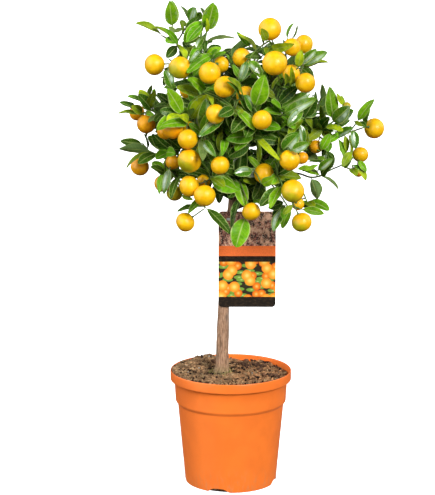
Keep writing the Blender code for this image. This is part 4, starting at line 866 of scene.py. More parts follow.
def cluster_stalks(cluster, runs, stalks, fruits):
    """Where a stalk sits on a stem, and its knuckle beside the fruits, from which it runs into each fruit."""
    middle = sum((centre for centre, _ in cluster), Vector()) / len(cluster)
    largest = max(radius for _, radius in cluster)
    top = middle + Vector((0, 0, largest))
    choices = []
    for run in runs:
        point, thickness = nearest_on_run(top, run)
        choices.append(((point - top).length - thickness, point, thickness))
    choices.sort(key=lambda choice: choice[0])
    for _, point, thickness in choices:
        aim = (point - middle).normalized()
        knuckle = middle + aim * (largest * 0.9)
        while len(cluster) > 1 and any((knuckle - c).length <= r + 3 for c, r in cluster):
            knuckle += aim
        reach = (knuckle - point).normalized()
        seat = point + reach * (thickness * SEAT_SHARE + SEAT_GAP)
        if (knuckle - point).length < thickness + 2.5:
            continue
        if not way_is_clear(knuckle, seat, runs + stalks, fruits, cluster):
            continue
        if len(cluster) == 1:
            return seat, knuckle
        forks = [centre - (centre - knuckle).normalized() * radius for centre, radius in cluster]
        if all(way_is_clear(fork, knuckle, runs + stalks, fruits, cluster) for fork in forks):
            return seat, knuckle
    raise ValueError(f"no way for the stalk of the cluster at {tuple(middle)}")


def grow_fruits(space, runs):
    """(seat, start of the stalks into the fruits, fruits) of each cluster. All of it is added to space."""
    settled, placed = settle_fruits(runs)
    stalks = []
    grown = []
    for number, cluster in enumerate(settled, 1):
        name = f"fruit_{number:02d}"
        seat, knuckle = cluster_stalks(cluster, runs, stalks, placed)
        start = seat if len(cluster) == 1 else knuckle
        stalks.append((name, seat, knuckle, STALK_RADIUS, STALK_RADIUS))
        stalks += [(name, start, centre, STALK_RADIUS, STALK_RADIUS) for centre, _ in cluster]
        for centre, radius in cluster:
            space.add(name, ball(centre, radius + TEST_MARGIN))
            space.add(name, prism(start, centre, STALK_RADIUS + TEST_MARGIN))
        if len(cluster) > 1:
            beyond = knuckle + (knuckle - seat).normalized() * STALK_RADIUS
            space.add(name, prism(seat, beyond, STALK_RADIUS * KNOT_THICKNESS + TEST_MARGIN))
        grown.append((seat, start, cluster))
    return grown


def grow_leaves(space, ends):
    """Places the shoots' leaves: the first listed of each, the second of each, and so on, then the wild."""
    rng = random.Random(WILD_SEED)
    tones = random.Random(WILD_TONE_SEED)
    rounds = range(max(len(shoot.leaves) for shoot in SHOOTS))
    for shoot, number in [(shoot, n) for n in rounds for shoot in SHOOTS if n < len(shoot.leaves)]:
        twig, index, offset, width, roll, tone = shoot.leaves[number]
        bases = bases_near([Vector(p) for p in shoot.twigs[twig]], index)
        tip = bases[0] + Vector(offset)
        normal = leaf_normal(Vector(offset).normalized(), roll)
        leaf = place_leaf(space, shoot.name, bases, tip, normal, width)
        if leaf:
            leaf.tone = tone
            shoot.placed.append(leaf)
    for shoot in SHOOTS:
        for index in range(shoot.wild):
            number = index % WILD_TWIGS % len(shoot.twigs)
            points = stem_points(shoot.twigs[number], number == 0, ends)[number == 0 :]
            leaf = place_leaf(space, shoot.name, *wild_leaf(points, index, rng), clipped=True)
            if leaf:
                leaf.tone = tones.choice(WILD_TONES)
                shoot.placed.append(leaf)


# Surfaces


def unit(vectors):
    """Vectors divided by their lengths, along the last axis."""
    return vectors / np.maximum(np.linalg.norm(vectors, axis=-1, keepdims=True), 1e-12)


def lattice_noise(points, scale, seed=0):
    """Smooth noise from -1 to 1: random values at a cubic lattice's corners, blended with 3t^2 - 2t^3."""
    places = np.asarray(points, float) / scale + 1000.0
    cell = np.floor(places).astype(np.int64)
    share = places - cell
    share = share * share * (3 - 2 * share)
    total = np.zeros(places.shape[:-1])
    for corner in np.ndindex(2, 2, 2):
        x, y, z = np.moveaxis(cell + corner, -1, 0)
        mixed = x * 73856093 ^ y * 19349663 ^ z * 83492791 ^ (seed + 1) * 40503
        value = np.sin((mixed % 104729) * 12.9898) * 43758.5453
        weight = np.prod(np.where(np.array(corner) == 1, share, 1 - share), axis=-1)
        total += weight * (value - np.floor(value))
    return 2 * total - 1


def cloudy(points, scale, seed=0, octaves=3):
    """A sum of lattice noises, each half as large and half as coarse as the one before."""
    return sum(lattice_noise(points, scale / 2**i, seed + i) / 2**i for i in range(octaves))


def step_up(values, low, high):
    """0 below low, 1 above high, and 3t^2 - 2t^3 between."""
    t = np.clip((values - low) / (high - low), 0, 1)
    return t * t * (3 - 2 * t)


def blend(first, second, share):
    """A mix of two colours, share of the second, for each entry of share."""
    share = np.asarray(share)[..., None]
    return np.asarray(first) * (1 - share) + np.asarray(second) * share


def turns(count):
    """Even angles round a circle."""
    return np.linspace(0, 2 * np.pi, count, endpoint=False)


def circle(turn, side, other):
    """Directions cos(turn) side + sin(turn) other, for every turn."""
    return np.cos(turn)[:, None] * side + np.sin(turn)[:, None] * other


def unit_ball(polar, turn):
    """Points of a ball: (sin(polar) cos(turn), sin(polar) sin(turn), cos(polar))."""
    out = np.sin(polar)
    return np.stack([out * np.cos(turn), out * np.sin(turn), np.cos(polar) + 0 * turn], -1)


def grid_cells(rows, columns):
    """Each point's number, its right neighbour's, and the quads between rows. A row closes on itself."""
    index = np.arange(rows * columns).reshape(rows, columns)
    right = np.roll(index, -1, axis=1)
    return index, right, np.stack([index[:-1], right[:-1], right[1:], index[1:]], -1)


def skins(rings, starts, ends):
    """Points, quads and triangles of closed skins, one for each entry of rings[shape, row, around].

    Neighbouring rings are joined by quads, and the first and last ring are drawn together to a point.
    """
    count, rows, around = rings.shape[:3]
    points = np.concatenate([starts[:, None], rings.reshape(count, -1, 3), ends[:, None]], axis=1)
    here, there, cells = (1 + numbers for numbers in grid_cells(rows, around))
    quads = cells.reshape(-1, 4)
    tip = rows * around + 1
    fans = [np.stack([np.zeros(around, int), there[0], here[0]], -1)]
    fans.append(np.stack([np.full(around, tip), here[-1], there[-1]], -1))
    tris = np.concatenate(fans)
    corners = points[0][tris]
    middle = points[0].mean(axis=0)
    halves = np.concatenate([corners, points[0][quads[:, :3]], points[0][quads[:, [0, 2, 3]]]]) - middle
    if np.einsum("ij,ij->i", halves[:, 0], np.cross(halves[:, 1], halves[:, 2])).sum() < 0:
        quads, tris = quads[:, ::-1], tris[:, ::-1]
    shift = (tip + 1) * np.arange(count)[:, None, None]
    return points.reshape(-1, 3), (quads + shift).reshape(-1, 4), (tris + shift).reshape(-1, 3)


def solid_sheet(front, back, keep):
    """Points and quads of a sheet with two faces, front[row, column] and back[row, column].

    keep[row, column] says which cells of the sheet are there. Along the edge of what is kept, and round each
    opening, a rim of quads joins the two faces.
    """
    size = front.shape[0] * front.shape[1]
    cells = grid_cells(*front.shape[:2])[2][:, :-1][keep]
    sides = np.concatenate([cells[:, [i, (i + 1) % 4]] for i in range(4)])
    code = sides[:, 0] * size + sides[:, 1]
    edge = sides[~np.isin(code, sides[:, 1] * size + sides[:, 0])]
    front, back = front.reshape(-1, 3), back.reshape(-1, 3)
    edge = edge[np.linalg.norm(front[edge[:, 0]] - front[edge[:, 1]], axis=1) >= WELD]
    rim = np.stack([edge[:, 1], edge[:, 0], edge[:, 0] + size, edge[:, 1] + size], -1)
    return np.concatenate([front, back]), np.concatenate([cells, cells[:, ::-1] + size, rim])


def smooth_path(points, radii, spacing):
    """Samples of a curve through points, and the radius at each.

    Between two points the curve is a cubic whose slope at a point is that of the line joining its neighbours.
    """
    points = np.array(points, float)
    radii = np.array(radii, float)
    spans = np.linalg.norm(np.diff(points, axis=0), axis=1)
    knots = np.concatenate([[0.0], np.cumsum(spans)])
    low = np.maximum(np.arange(len(knots)) - 1, 0)
    high = np.minimum(np.arange(len(knots)) + 1, len(knots) - 1)
    slopes = (points[high] - points[low]) / (knots[high] - knots[low])[:, None]
    places = np.linspace(0, knots[-1], max(3, int(knots[-1] / spacing) + 1))
    run = np.clip(np.searchsorted(knots, places, side="right") - 1, 0, len(spans) - 1)
    span = spans[run][:, None]
    t = (places - knots[run])[:, None] / span
    a = points[run] * (2 * t**3 - 3 * t**2 + 1) + points[run + 1] * (3 * t**2 - 2 * t**3)
    b = slopes[run] * (t**3 - 2 * t**2 + t) * span + slopes[run + 1] * (t**3 - t**2) * span
    return a + b, np.interp(places, knots, radii), places


def path_frames(path):
    """Directions along the path and two across it, the first square to the axis it runs along least."""
    along = unit(np.gradient(path, axis=0))
    least = np.eye(3)[np.abs(along).max(axis=0).argmin()]
    side = unit(np.cross(along, least))
    return along, side, np.cross(side, along)


def tube(points, radii, grid, relief=None):
    """A closed round tube along a smooth path, as rings, start and end for skins, and where its points lie.

    A ring's point is centre + radius * (cos(turn) side + sin(turn) other). The relief function, if there is
    one, gives a factor for the radius from the distance along the path and the turn.
    """
    spacing, around = grid
    path, radius, places = smooth_path(points, radii, spacing)
    along, side, other = path_frames(path)
    turn = turns(around)
    reach = np.repeat(radius[:, None], around, axis=1)
    if relief:
        reach = reach * relief(places[:, None], turn[None, :])
    rings = path[:, None] + circle(turn, side[:, None], other[:, None]) * reach[..., None]
    rings[0] = path[0] + (rings[0] - path[0]) * 0.8
    rings[-1] = path[-1] + (rings[-1] - path[-1]) * 0.7
    start = path[0] - along[0] * radius[0] * 0.25
    end = path[-1] + along[-1] * radius[-1] * 0.5
    return rings, start, end, places


def linked(name, data):
    """A new object of the scene, at the origin."""
    thing = bpy.data.objects.new(name, data)
    bpy.context.scene.collection.objects.link(thing)
    return thing


class Piece:
    """Gathers surfaces and the values their finish needs at each point, and makes one mesh object of them."""

    def __init__(self, name):
        self.name = name
        self.points, self.quads, self.tris, self.layers = [], [], [], {}
        self.size = 0

    def add(self, points, quads, tris=None, **layers):
        """Adds a surface. Each layer is one row of 3 or 4 numbers for each point."""
        self.points.append(points)
        self.quads.append(quads + self.size)
        if tris is not None:
            self.tris.append(tris + self.size)
        for layer, values in layers.items():
            self.layers.setdefault(layer, []).append(np.asarray(values, np.float32))
        self.size += len(points)

    def make(self, finish, slot, *nodes, sharp=None, margin=False):
        """Makes the object, lets it ride on the root body and stand for the nodes.

        Sharp is the angle in degrees from which edges stay sharp. With margin, a leaf's margin stays sharp.
        """
        points = np.concatenate(self.points) * MM
        quads = np.concatenate(self.quads)
        tris = np.concatenate(self.tris) if self.tris else np.zeros((0, 3), int)
        mesh = bpy.data.meshes.new(self.name)
        mesh.vertices.add(len(points))
        mesh.vertices.foreach_set("co", points.astype(np.float32).ravel())
        corners = np.concatenate([quads.ravel(), tris.ravel()]).astype(np.int32)
        sizes = np.concatenate([np.full(len(quads), 4), np.full(len(tris), 3)])
        mesh.loops.add(len(corners))
        mesh.loops.foreach_set("vertex_index", corners)
        mesh.polygons.add(len(sizes))
        mesh.polygons.foreach_set("loop_start", (np.cumsum(sizes) - sizes).astype(np.int32))
        mesh.update(calc_edges=True)
        for layer, values in self.layers.items():
            values = np.concatenate(values)
            kind, target = {3: ("FLOAT_VECTOR", "vector"), 4: ("FLOAT_COLOR", "color")}[values.shape[1]]
            mesh.attributes.new(layer, kind, "POINT").data.foreach_set(target, values.ravel())
        if sharp is not None:
            shape = bmesh.new()
            shape.from_mesh(mesh)
            bmesh.ops.remove_doubles(shape, verts=shape.verts, dist=WELD)
            bmesh.ops.recalc_face_normals(shape, faces=shape.faces)
            shape.to_mesh(mesh)
            shape.free()
            mesh.set_sharp_from_angle(angle=math.radians(sharp))
        if margin:
            blade = np.zeros(3 * len(mesh.vertices), np.float32)
            mesh.attributes["blade"].data.foreach_get("vector", blade)
            on_margin = np.abs(blade.reshape(-1, 3)[:, 2]) < 0.5
            ends = np.zeros(2 * len(mesh.edges), np.int32)
            mesh.edges.foreach_get("vertices", ends)
            crease = on_margin[ends.reshape(-1, 2)].all(axis=1)
            mesh.attributes.new("sharp_edge", "BOOLEAN", "EDGE").data.foreach_set("value", crease)
        mesh.materials.append(finish)
        thing = linked(self.name, mesh)
        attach(thing, "root")
        if nodes:
            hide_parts(*nodes)


# Finishes


class Finish:
    """A material in the making. Each method adds one node and returns its output."""

    def __init__(self, name, **constants):
        self.material = bpy.data.materials.new(name)
        self.material.use_nodes = True
        self.tree = self.material.node_tree
        self.shader = self.tree.nodes["Principled BSDF"]
        for socket, value in constants.items():
            self.shader.inputs[socket.replace("_", " ")].default_value = value

    def node(self, kind, inputs, output=0, **settings):
        node = self.tree.nodes.new("ShaderNode" + kind)
        for setting, value in settings.items():
            setattr(node, setting, value)
        for socket, value in inputs.items():
            if isinstance(value, bpy.types.NodeSocket):
                self.tree.links.new(value, node.inputs[socket])
            else:
                node.inputs[socket].default_value = value
        return node.outputs[output]

    def place(self):
        return self.node("TexCoord", {}, "Object")

    def layer(self, name, output="Vector"):
        return self.node("Attribute", {}, output, attribute_name=name)

    def axes(self, vector):
        parts = self.node("SeparateXYZ", {0: vector}).node
        return parts.outputs[0], parts.outputs[1], parts.outputs[2]

    def vector(self, x, y, z):
        return self.node("CombineXYZ", {0: x, 1: y, 2: z})

    def math(self, operation, first, second=0.0, clamp=False):
        return self.node("Math", {0: first, 1: second}, operation=operation, use_clamp=clamp)

    def times(self, first, second):
        return self.math("MULTIPLY", first, second)

    def plus(self, first, second):
        return self.math("ADD", first, second)

    def less(self, first, second):
        return self.math("SUBTRACT", first, second)

    def above(self, value, limit):
        return self.math("GREATER_THAN", value, limit)

    def scaled(self, vector, scale):
        return self.node("Mapping", {"Vector": vector, "Scale": scale})

    def noise(self, vector, scale, detail=3.0, roughness=0.55):
        sockets = {"Vector": vector, "Scale": scale, "Detail": detail, "Roughness": roughness}
        return self.node("TexNoise", sockets, "Fac")

    def cells(self, vector, scale, randomness=1.0, dimensions="3D"):
        """The distance to the nearest of the points scattered over the cells."""
        sockets = {"Vector": vector, "Scale": scale, "Randomness": randomness}
        return self.node("TexVoronoi", sockets, "Distance", voronoi_dimensions=dimensions)

    def rise(self, value, low, high, bottom=0.0, top=1.0):
        """Bottom below low, top above high, and a smooth step between."""
        sockets = {"Value": value, "From Min": low, "From Max": high, "To Min": bottom, "To Max": top}
        return self.node("MapRange", sockets, interpolation_type="SMOOTHSTEP")

    def mix(self, share, first, second, how="MIX"):
        node = self.node("Mix", {0: share}, 2, data_type="RGBA", blend_type=how).node
        for socket, value in ((6, first), (7, second)):
            if isinstance(value, bpy.types.NodeSocket):
                self.tree.links.new(value, node.inputs[socket])
            else:
                node.inputs[socket].default_value = (*value[:3], 1.0)
        return node.outputs[2]

    def bump(self, height, distance, strength=1.0):
        return self.node("Bump", {"Height": height, "Distance": distance, "Strength": strength})

    def done(self, colour, roughness=None, normal=None):
        for socket, value in (("Base Color", colour), ("Roughness", roughness), ("Normal", normal)):
            if value is not None:
                self.tree.links.new(value, self.shader.inputs[socket])
        return self.material


def shaded(colour, factor):
    """A colour made lighter or darker, up to full strength."""
    return tuple(min(1, c * factor) for c in colour)


def pot_finish(colour):
    """Moulded plastic: an even colour with faint clouding, fine scuffs and a satin gloss.

    There is dust near the foot, and painted shade darkens the drain notches and the underside.
    """
    f = Finish(
        "moulded_orange_plastic",
        Specular_IOR_Level=0.42,
        Sheen_Weight=0.22,
        Sheen_Roughness=0.5,
        Sheen_Tint=(1.0, 0.42, 0.26, 1.0),
    )
    place = f.place()
    x, y, z = f.axes(place)
    cloud = f.noise(place, 28.0)
    worn = f.noise(f.scaled(place, (1.0, 1.0, 0.25)), 260.0, 4.0)
    base = f.mix(f.rise(cloud, 0.35, 0.7), shaded(colour, 0.93), shaded(colour, 1.04))
    dust = f.math("MULTIPLY", f.rise(z, 0.05, 0.0), f.rise(worn, 0.45, 0.75), clamp=True)
    base = f.mix(f.times(dust, 0.35), base, (0.55, 0.30, 0.15))
    # Painted shade: faces within 71.5 mm of the axis and below 6 mm, the drain notches' backs and the
    # underside, are mixed to near black
    radius = f.node("VectorMath", {0: f.vector(x, y, 0.0)}, "Value", operation="LENGTH")
    under = f.times(f.rise(radius, 0.0745, 0.0715), f.rise(z, 0.009, 0.006))
    base = f.mix(under, base, (0.045, 0.016, 0.008))
    rough = f.rise(worn, 0.3, 0.8, 0.36, 0.5)
    fine = f.noise(place, 900.0, 2.0)
    return f.done(base, rough, f.bump(fine, 0.00006, 0.5))


def soil_finish(damp):
    """Peat mix: each crumb has its own tint, and fine noise makes it fibrous and dull."""
    f = Finish("potting_mix", Specular_IOR_Level=0.15, Roughness=0.95)
    place = f.place()
    grain = f.noise(place, 420.0, 6.0, 0.7)
    lumps = f.noise(place, 110.0, 5.0, 0.65)
    tint = f.layer("tint", "Color")
    base = f.mix(f.rise(grain, 0.3, 0.70), (0.50, 0.44, 0.40), (1.75, 1.68, 1.6))
    base = f.mix(1.0, tint, base, "MULTIPLY")
    base = f.mix(f.rise(lumps, 0.62, 0.45, 0.0, damp), base, (0.012, 0.007, 0.005))
    height = f.plus(grain, f.times(lumps, 1.5))
    return f.done(base, None, f.bump(height, 0.0016))


def bark_finish():
    """Bark: the tint, with its painted shade in the fissures, and streaks and flecks that run along the
    grain.
    """
    f = Finish("citrus_bark", Specular_IOR_Level=0.25)
    place = f.place()
    streaks = f.noise(f.scaled(place, (1.0, 1.0, 0.14)), 620.0, 5.0, 0.62)
    flecks = f.noise(f.scaled(place, (1.0, 1.0, 0.5)), 260.0, 4.0)
    tint = f.layer("tint", "Color")
    grain = f.mix(f.rise(streaks, 0.32, 0.68), (0.55, 0.5, 0.46), (1.35, 1.33, 1.3))
    base = f.mix(1.0, tint, grain, "MULTIPLY")
    base = f.mix(f.rise(flecks, 0.6, 0.75, 0.0, 0.5), base, (0.47, 0.40, 0.30))
    height = f.plus(streaks, f.times(flecks, 0.7))
    return f.done(base, f.rise(streaks, 0.3, 0.7, 0.88, 0.7), f.bump(height, 0.0011))


def stem_finish():
    """Young wood and stalks: the tint with fine lengthwise streaks and a dull gloss."""
    f = Finish("green_stem", Specular_IOR_Level=0.35)
    place = f.place()
    streaks = f.noise(place, 900.0, 4.0)
    tint = f.layer("tint", "Color")
    base = f.mix(1.0, tint, f.mix(streaks, (0.6, 0.6, 0.6), (1.35, 1.35, 1.3)), "MULTIPLY")
    return f.done(base, f.rise(streaks, 0.3, 0.7, 0.5, 0.66), f.bump(streaks, 0.0003))


def leaf_finish(underside, rib_colour):
    """A citrus leaf: pale midrib, side veins and margin, cloudy colour, waxy upper side and dull underside.

    In the blade layer the first number runs from the stem to the tip, the second from margin to margin and
    the third tells the upper side from the lower. The trim layer says how clearly the midrib and the margin
    show, and how glossy the leaf is. The gloss also sets a painted highlight on one half of the upper side,
    and the pale margin is partly a painted highlight.
    """
    f = Finish("citrus_leaf", Specular_IOR_Level=0.1, Coat_Roughness=0.14)
    place = f.place()
    u, v, side = f.axes(f.layer("blade"))
    rib, edge, gloss = f.axes(f.layer("trim"))
    upper = f.above(side, 0.0)
    away = f.math("ABSOLUTE", v)
    cloud = f.noise(place, 75.0, 3.0)
    fine = f.noise(place, 520.0, 4.0)
    tint = f.layer("tint", "Color")
    shade = f.mix(f.rise(cloud, 0.3, 0.72), (0.55, 0.66, 0.55), (1.40, 1.26, 1.1))
    top = f.mix(1.0, tint, shade, "MULTIPLY")
    top = f.mix(f.rise(fine, 0.40, 0.75, 0.0, 0.18), top, (0.36, 0.50, 0.04))
    below = f.mix(0.72, tint, underside)
    base = f.mix(upper, below, top)
    wave = f.math("FRACT", f.plus(f.times(u, 9.0), f.times(away, -1.5)))
    ridge = f.math("ABSOLUTE", f.less(wave, 0.5))
    vein = f.times(f.rise(ridge, 0.10, 0.0), f.rise(away, 0.95, 0.6))
    base = f.mix(f.times(vein, 0.22), base, rib_colour)
    line = f.times(f.rise(away, 0.12, 0.03), f.rise(u, 1.05, 0.75, 0.35, 1.0))
    rib = f.math("MAXIMUM", rib, f.times(f.less(1.0, upper), 0.7))
    base = f.mix(f.times(line, rib), base, rib_colour)
    # The pale margin: partly the leaf's own paler edge, partly a painted highlight along it
    rim = f.times(f.rise(away, 0.84, 0.97), edge)
    base = f.mix(rim, base, rib_colour)
    coat = f.times(f.rise(gloss, 0.4, 1.0, 0.02, 1.0), upper)
    # Painted highlight: a pale, clouded patch over one half of a glossy leaf's upper side, standing in for
    # the lights' reflection
    half = f.rise(f.math("ABSOLUTE", f.less(v, 0.45)), 0.46, 0.12)
    painted_highlight = f.times(half, f.times(f.rise(u, 0.10, 0.35), f.rise(u, 0.98, 0.62)))
    painted_highlight = f.times(painted_highlight, f.times(f.rise(gloss, 0.6, 1.0), upper))
    painted_highlight = f.times(painted_highlight, f.rise(cloud, 0.25, 0.6, 0.2, 0.75))
    base = f.mix(painted_highlight, base, (0.66, 0.82, 0.66))
    f.tree.links.new(coat, f.shader.inputs["Coat Weight"])
    dull = f.less(0.52, f.times(gloss, 0.24))
    dull = f.plus(dull, f.rise(cloud, 0.35, 0.7, -0.05, 0.07))
    dull = f.plus(dull, f.times(f.less(1.0, upper), 0.18))
    height = f.less(f.times(fine, 0.35), f.times(vein, 0.5))
    height = f.less(height, line)
    return f.done(base, dull, f.bump(height, 0.0005, 0.8))


def peel_finish(pores):
    """Citrus peel: the ripening tint, small darker oil glands that sit in pits, and a waxy gloss."""
    f = Finish("citrus_peel", Specular_IOR_Level=0.5)
    place = f.place()
    gland = f.cells(place, pores)
    cloud = f.noise(place, 90.0, 3.0)
    tint = f.layer("tint", "Color")
    shade = f.mix(f.rise(cloud, 0.3, 0.7), (0.90, 0.84, 0.80), (1.06, 1.08, 1.0))
    base = f.mix(1.0, tint, shade, "MULTIPLY")
    base = f.mix(f.rise(gland, 0.32, 0.08, 0.0, 0.16), base, (0.62, 0.22, 0.01))
    speck = f.noise(place, 340.0, 2.0)
    base = f.mix(f.rise(speck, 0.70, 0.78, 0.0, 0.3), base, (0.42, 0.20, 0.03))
    height = f.rise(gland, 0.0, 0.5)
    return f.done(base, f.rise(cloud, 0.3, 0.7, 0.30, 0.38), f.bump(height, 0.0003, 0.6))


def tag_finish(panel, band, back):
    """A printed card with plain bands, and a panel of simple round fruits and leaf shapes on a dark ground.

    The bands depend on the height only. The fruits are cells whose distance from their middles is under a
    limit, shaded towards the edge, and the leaves are cells of a stretched and turned pattern.
    """
    f = Finish("printed_card", Specular_IOR_Level=0.4)
    x, _, z = f.axes(f.place())
    flat = f.vector(x, z, 0.0)
    grain = f.noise(flat, 420.0, 5.0, 0.7)
    mottle = f.noise(f.scaled(flat, (1.0, 1.6, 1.0)), 190.0, 4.0, 0.7)
    top = f.mix(f.rise(mottle, 0.35, 0.68), shaded(panel, 0.5), shaded(panel, 2.6))
    patches = f.noise(flat, 62.0, 2.0, 0.6)
    side = f.plus(patches, f.times(x, 2.2))
    top = f.mix(f.rise(side, 0.56, 0.66, 0.0, 0.7), top, (0.66, 0.36, 0.22))
    blots = f.noise(f.scaled(flat, (1.6, 0.8, 1.0)), 110.0, 3.0, 0.6)
    top = f.mix(f.rise(blots, 0.53, 0.57, 0.0, 0.92), top, (0.016, 0.007, 0.006))
    top = f.mix(f.rise(blots, 0.455, 0.42, 0.0, 0.9), top, (0.86, 0.52, 0.33))
    top = f.mix(f.rise(grain, 0.52, 0.62, 0.0, 0.85), top, (0.95, 0.70, 0.50))
    turned_flat = f.node("Mapping", {"Vector": flat, "Rotation": (0, 0, 0.6), "Scale": (0.8, 2.2, 1)})
    leafy = f.cells(turned_flat, 62.0, 0.8, "2D")
    ground = f.mix(f.rise(leafy, 0.46, 0.40), (0.030, 0.024, 0.012), (0.19, 0.36, 0.05))
    picture = f.mix(f.rise(leafy, 0.16, 0.04), ground, (0.52, 0.66, 0.22))
    discs = (
        (60.0, (0.0, 0.004, 0), (1.0, 0.34, 0.02), (0.74, 0.12, 0.01)),
        (46.0, (0, 0, 0), (1, 0.60, 0.08), (1.0, 0.27, 0.015)),
    )
    for scale, shift, middle, edge in discs:
        spots = f.node("Mapping", {"Vector": flat, "Location": shift})
        disc = f.cells(spots, scale, 0.8, "2D")
        fruit = f.mix(f.rise(disc, 0.05, 0.42), middle, edge)
        fruit = f.mix(f.rise(disc, 0.18, 0.02, 0.0, 0.5), fruit, (1.0, 0.74, 0.30))
        picture = f.mix(f.rise(disc, 0.42, 0.39), picture, fruit)
    stripe = f.mix(f.rise(grain, 0.4, 0.7), band, shaded(band, 0.82))
    dark = f.mix(f.rise(mottle, 0.45, 0.7), (0.012, 0.009, 0.006), (0.055, 0.035, 0.02))
    face = dark
    zones = ((PICTURE_FOOT, picture), (DARK_BAND_FOOT, dark), (STRIPE_FOOT, stripe), (PANEL_FOOT, top))
    for foot, zone in zones:
        face = f.mix(f.above(z, foot), face, zone)
    printed, _, _ = f.axes(f.layer("face"))
    reverse = f.mix(f.rise(grain, 0.35, 0.7), back, shaded(back, 0.9))
    base = f.mix(f.above(printed, 0.5), reverse, face)
    return f.done(base, f.rise(grain, 0.3, 0.7, 0.30, 0.38), f.bump(grain, 0.00008, 0.5))


def strap_finish(colour):
    """Milky plastic of the strap, with a slight clouding."""
    f = Finish("strap_plastic", Specular_IOR_Level=0.5)
    cloud = f.noise(f.place(), 300.0, 3.0)
    base = f.mix(f.rise(cloud, 0.3, 0.7), shaded(colour, 0.88), colour)
    return f.done(base, f.rise(cloud, 0.3, 0.7, 0.3, 0.42), f.bump(cloud, 0.0001, 0.4))


def floor_finish(colour):
    """A matt white sweep with the faintest clouding."""
    f = Finish("white_sweep", Specular_IOR_Level=0.1, Roughness=0.9)
    cloud = f.noise(f.place(), 3.0)
    return f.done(f.mix(cloud, shaded(colour, 0.995), colour))


# Pot, soil and wood


def turned(rows, angles):
    """Points of a surface turned about Z, at (radius cos angle, radius sin angle, height)."""
    rows = np.array(rows, float)
    radius, height = rows[:, :1], rows[:, 1:]
    return np.stack([radius * np.cos(angles), radius * np.sin(angles), height + 0 * angles[None]], -1)


def pot_angles(width):
    """Angles of the pot's columns: NOTCH_STEPS across each drain notch, and even steps between them."""
    sector = 2 * np.pi / NOTCH_COUNT
    half = math.asin(width / 2 / FOOT_RADIUS)
    across = np.linspace(-half, half, NOTCH_STEPS, endpoint=False)
    between = np.linspace(half, sector - half, POT_STEPS // NOTCH_COUNT - NOTCH_STEPS, endpoint=False)
    column = np.concatenate([across, between])
    first = math.radians(NOTCH_FIRST_ANGLE) + sector * np.arange(NOTCH_COUNT)
    return (first[:, None] + column[None]).ravel()


def pot_rows():
    """(radius, height) rows of the pot's section.

    They run along the underside, up the outside to the lip and down the inside to the floor. With them come
    the first rows of the two stretches of four rows that a drain notch cuts.
    """

    def body(z):
        return FOOT_RADIUS + (BODY_TOP_RADIUS - FOOT_RADIUS) * z / BODY_TOP_Z

    foot = FOOT_RADIUS
    deep = foot - NOTCH_DEPTH
    rim = LIP_RADIUS
    band = BAND_TOP_RADIUS
    step = BAND_FOOT_RADIUS
    above = NOTCH_HEIGHT + 0.8
    rows = [(0, 0), (35, 0)]
    outer = len(rows)
    rows += [(deep, 0), (foot - 1.0, 0), (foot - 0.35, 0.5), (body(NOTCH_HEIGHT), NOTCH_HEIGHT)]
    rows += [(body(z), z) for z in (above, 12, 40, 70, 100, 125, 132.8)]
    rows += [(BODY_TOP_RADIUS, 133.6), (BODY_TOP_RADIUS + 0.5, 134.5), (step - 0.5, 137.8), (step, 138.9)]
    rows += [(step + 0.1, 140.5), (step + 1.0, 156), (band - 0.05, 172.6), (band + 0.3, 173.4)]
    rows += [(rim - 1.6, 173.9), (rim - 0.6, 174.2), (rim - 0.12, 174.8), (rim, 175.6), (rim, 182)]
    rows += [(rim, 188.3), (rim - 0.15, 189.2), (rim - 0.45, 189.8), (rim - 0.8, POT_HEIGHT)]
    inside = rim - WALL
    rows += [(rim - 1.05, POT_HEIGHT), (inside + 0.4, 189.75), (inside + 0.15, 189.2), (inside, 188.4)]
    rows += [(inside, 183), (inside - 0.1, 178.0), (inside - 0.4, 176.8), (inside - 1.4, 176.1)]
    rows += [(band - WALL + 0.6, 175.4), (band - WALL, 173.6), (step - WALL, 139.4)]
    rows += [(BODY_TOP_RADIUS - WALL, 134.2), (body(above) - WALL, above)]
    inner = len(rows)
    rows += [(body(NOTCH_HEIGHT) - WALL, NOTCH_HEIGHT), (foot - WALL - 0.4, FLOOR + 1)]
    rows += [(foot - WALL - 1.4, FLOOR), (deep, FLOOR), (30, FLOOR), (0, FLOOR)]
    return rows, outer, inner


def pot_surface(width):
    """The pot: its section turned about Z, with arched drain notches cut through the foot and closed again.

    In a notch's columns the top row of the cut sinks towards the notch's two ends. The notch's ceiling joins
    the outer and the inner stretch at their tops, its back joins them on the floor, and its ends are quads of
    the section.
    """
    rows, outer, inner = pot_rows()
    angles = pot_angles(width)
    count = len(angles)
    points = turned(rows, angles)
    place = np.arange(count) % (count // NOTCH_COUNT)
    along = place / NOTCH_STEPS
    sink = (1 - step_up(np.minimum(along, 1 - along), 0.0, 0.3)) * (place <= NOTCH_STEPS)
    points[outer + 3, :, 2] -= sink * (NOTCH_HEIGHT - 1.2)
    points[inner, :, 2] -= sink * (NOTCH_HEIGHT - FLOOR - 1.3)
    index, right, cells = grid_cells(len(rows), count)
    notch = place < NOTCH_STEPS
    keep = np.ones(cells.shape[:2], bool)
    keep[outer : outer + 3, notch] = False
    keep[inner : inner + 3, notch] = False
    joins = [(outer + 3, inner), (inner + 3, outer)]
    bridges = [np.stack([index[a], right[a], right[b], index[b]], -1)[notch] for a, b in joins]
    ends = index[:, (place == 0) | (place == NOTCH_STEPS)]
    for i in range(3):
        far = inner + 3 - i
        bridges.append(np.stack([ends[outer + i], ends[outer + i + 1], ends[far - 1], ends[far]], -1))
    return points.reshape(-1, 3), np.concatenate([cells[keep], *bridges])


def soil_height(x, y):
    """Height of the packed soil's surface: higher at the left than at the right, with low swells."""
    slope = (-x - 0.15 * y) / LIP_RADIUS
    swell = np.sin(x * 0.061 + 0.7) * np.cos(y * 0.053 - 0.4)
    return SOIL_LEVEL + SOIL_SWELL * (0.55 * slope + 0.3 * swell)


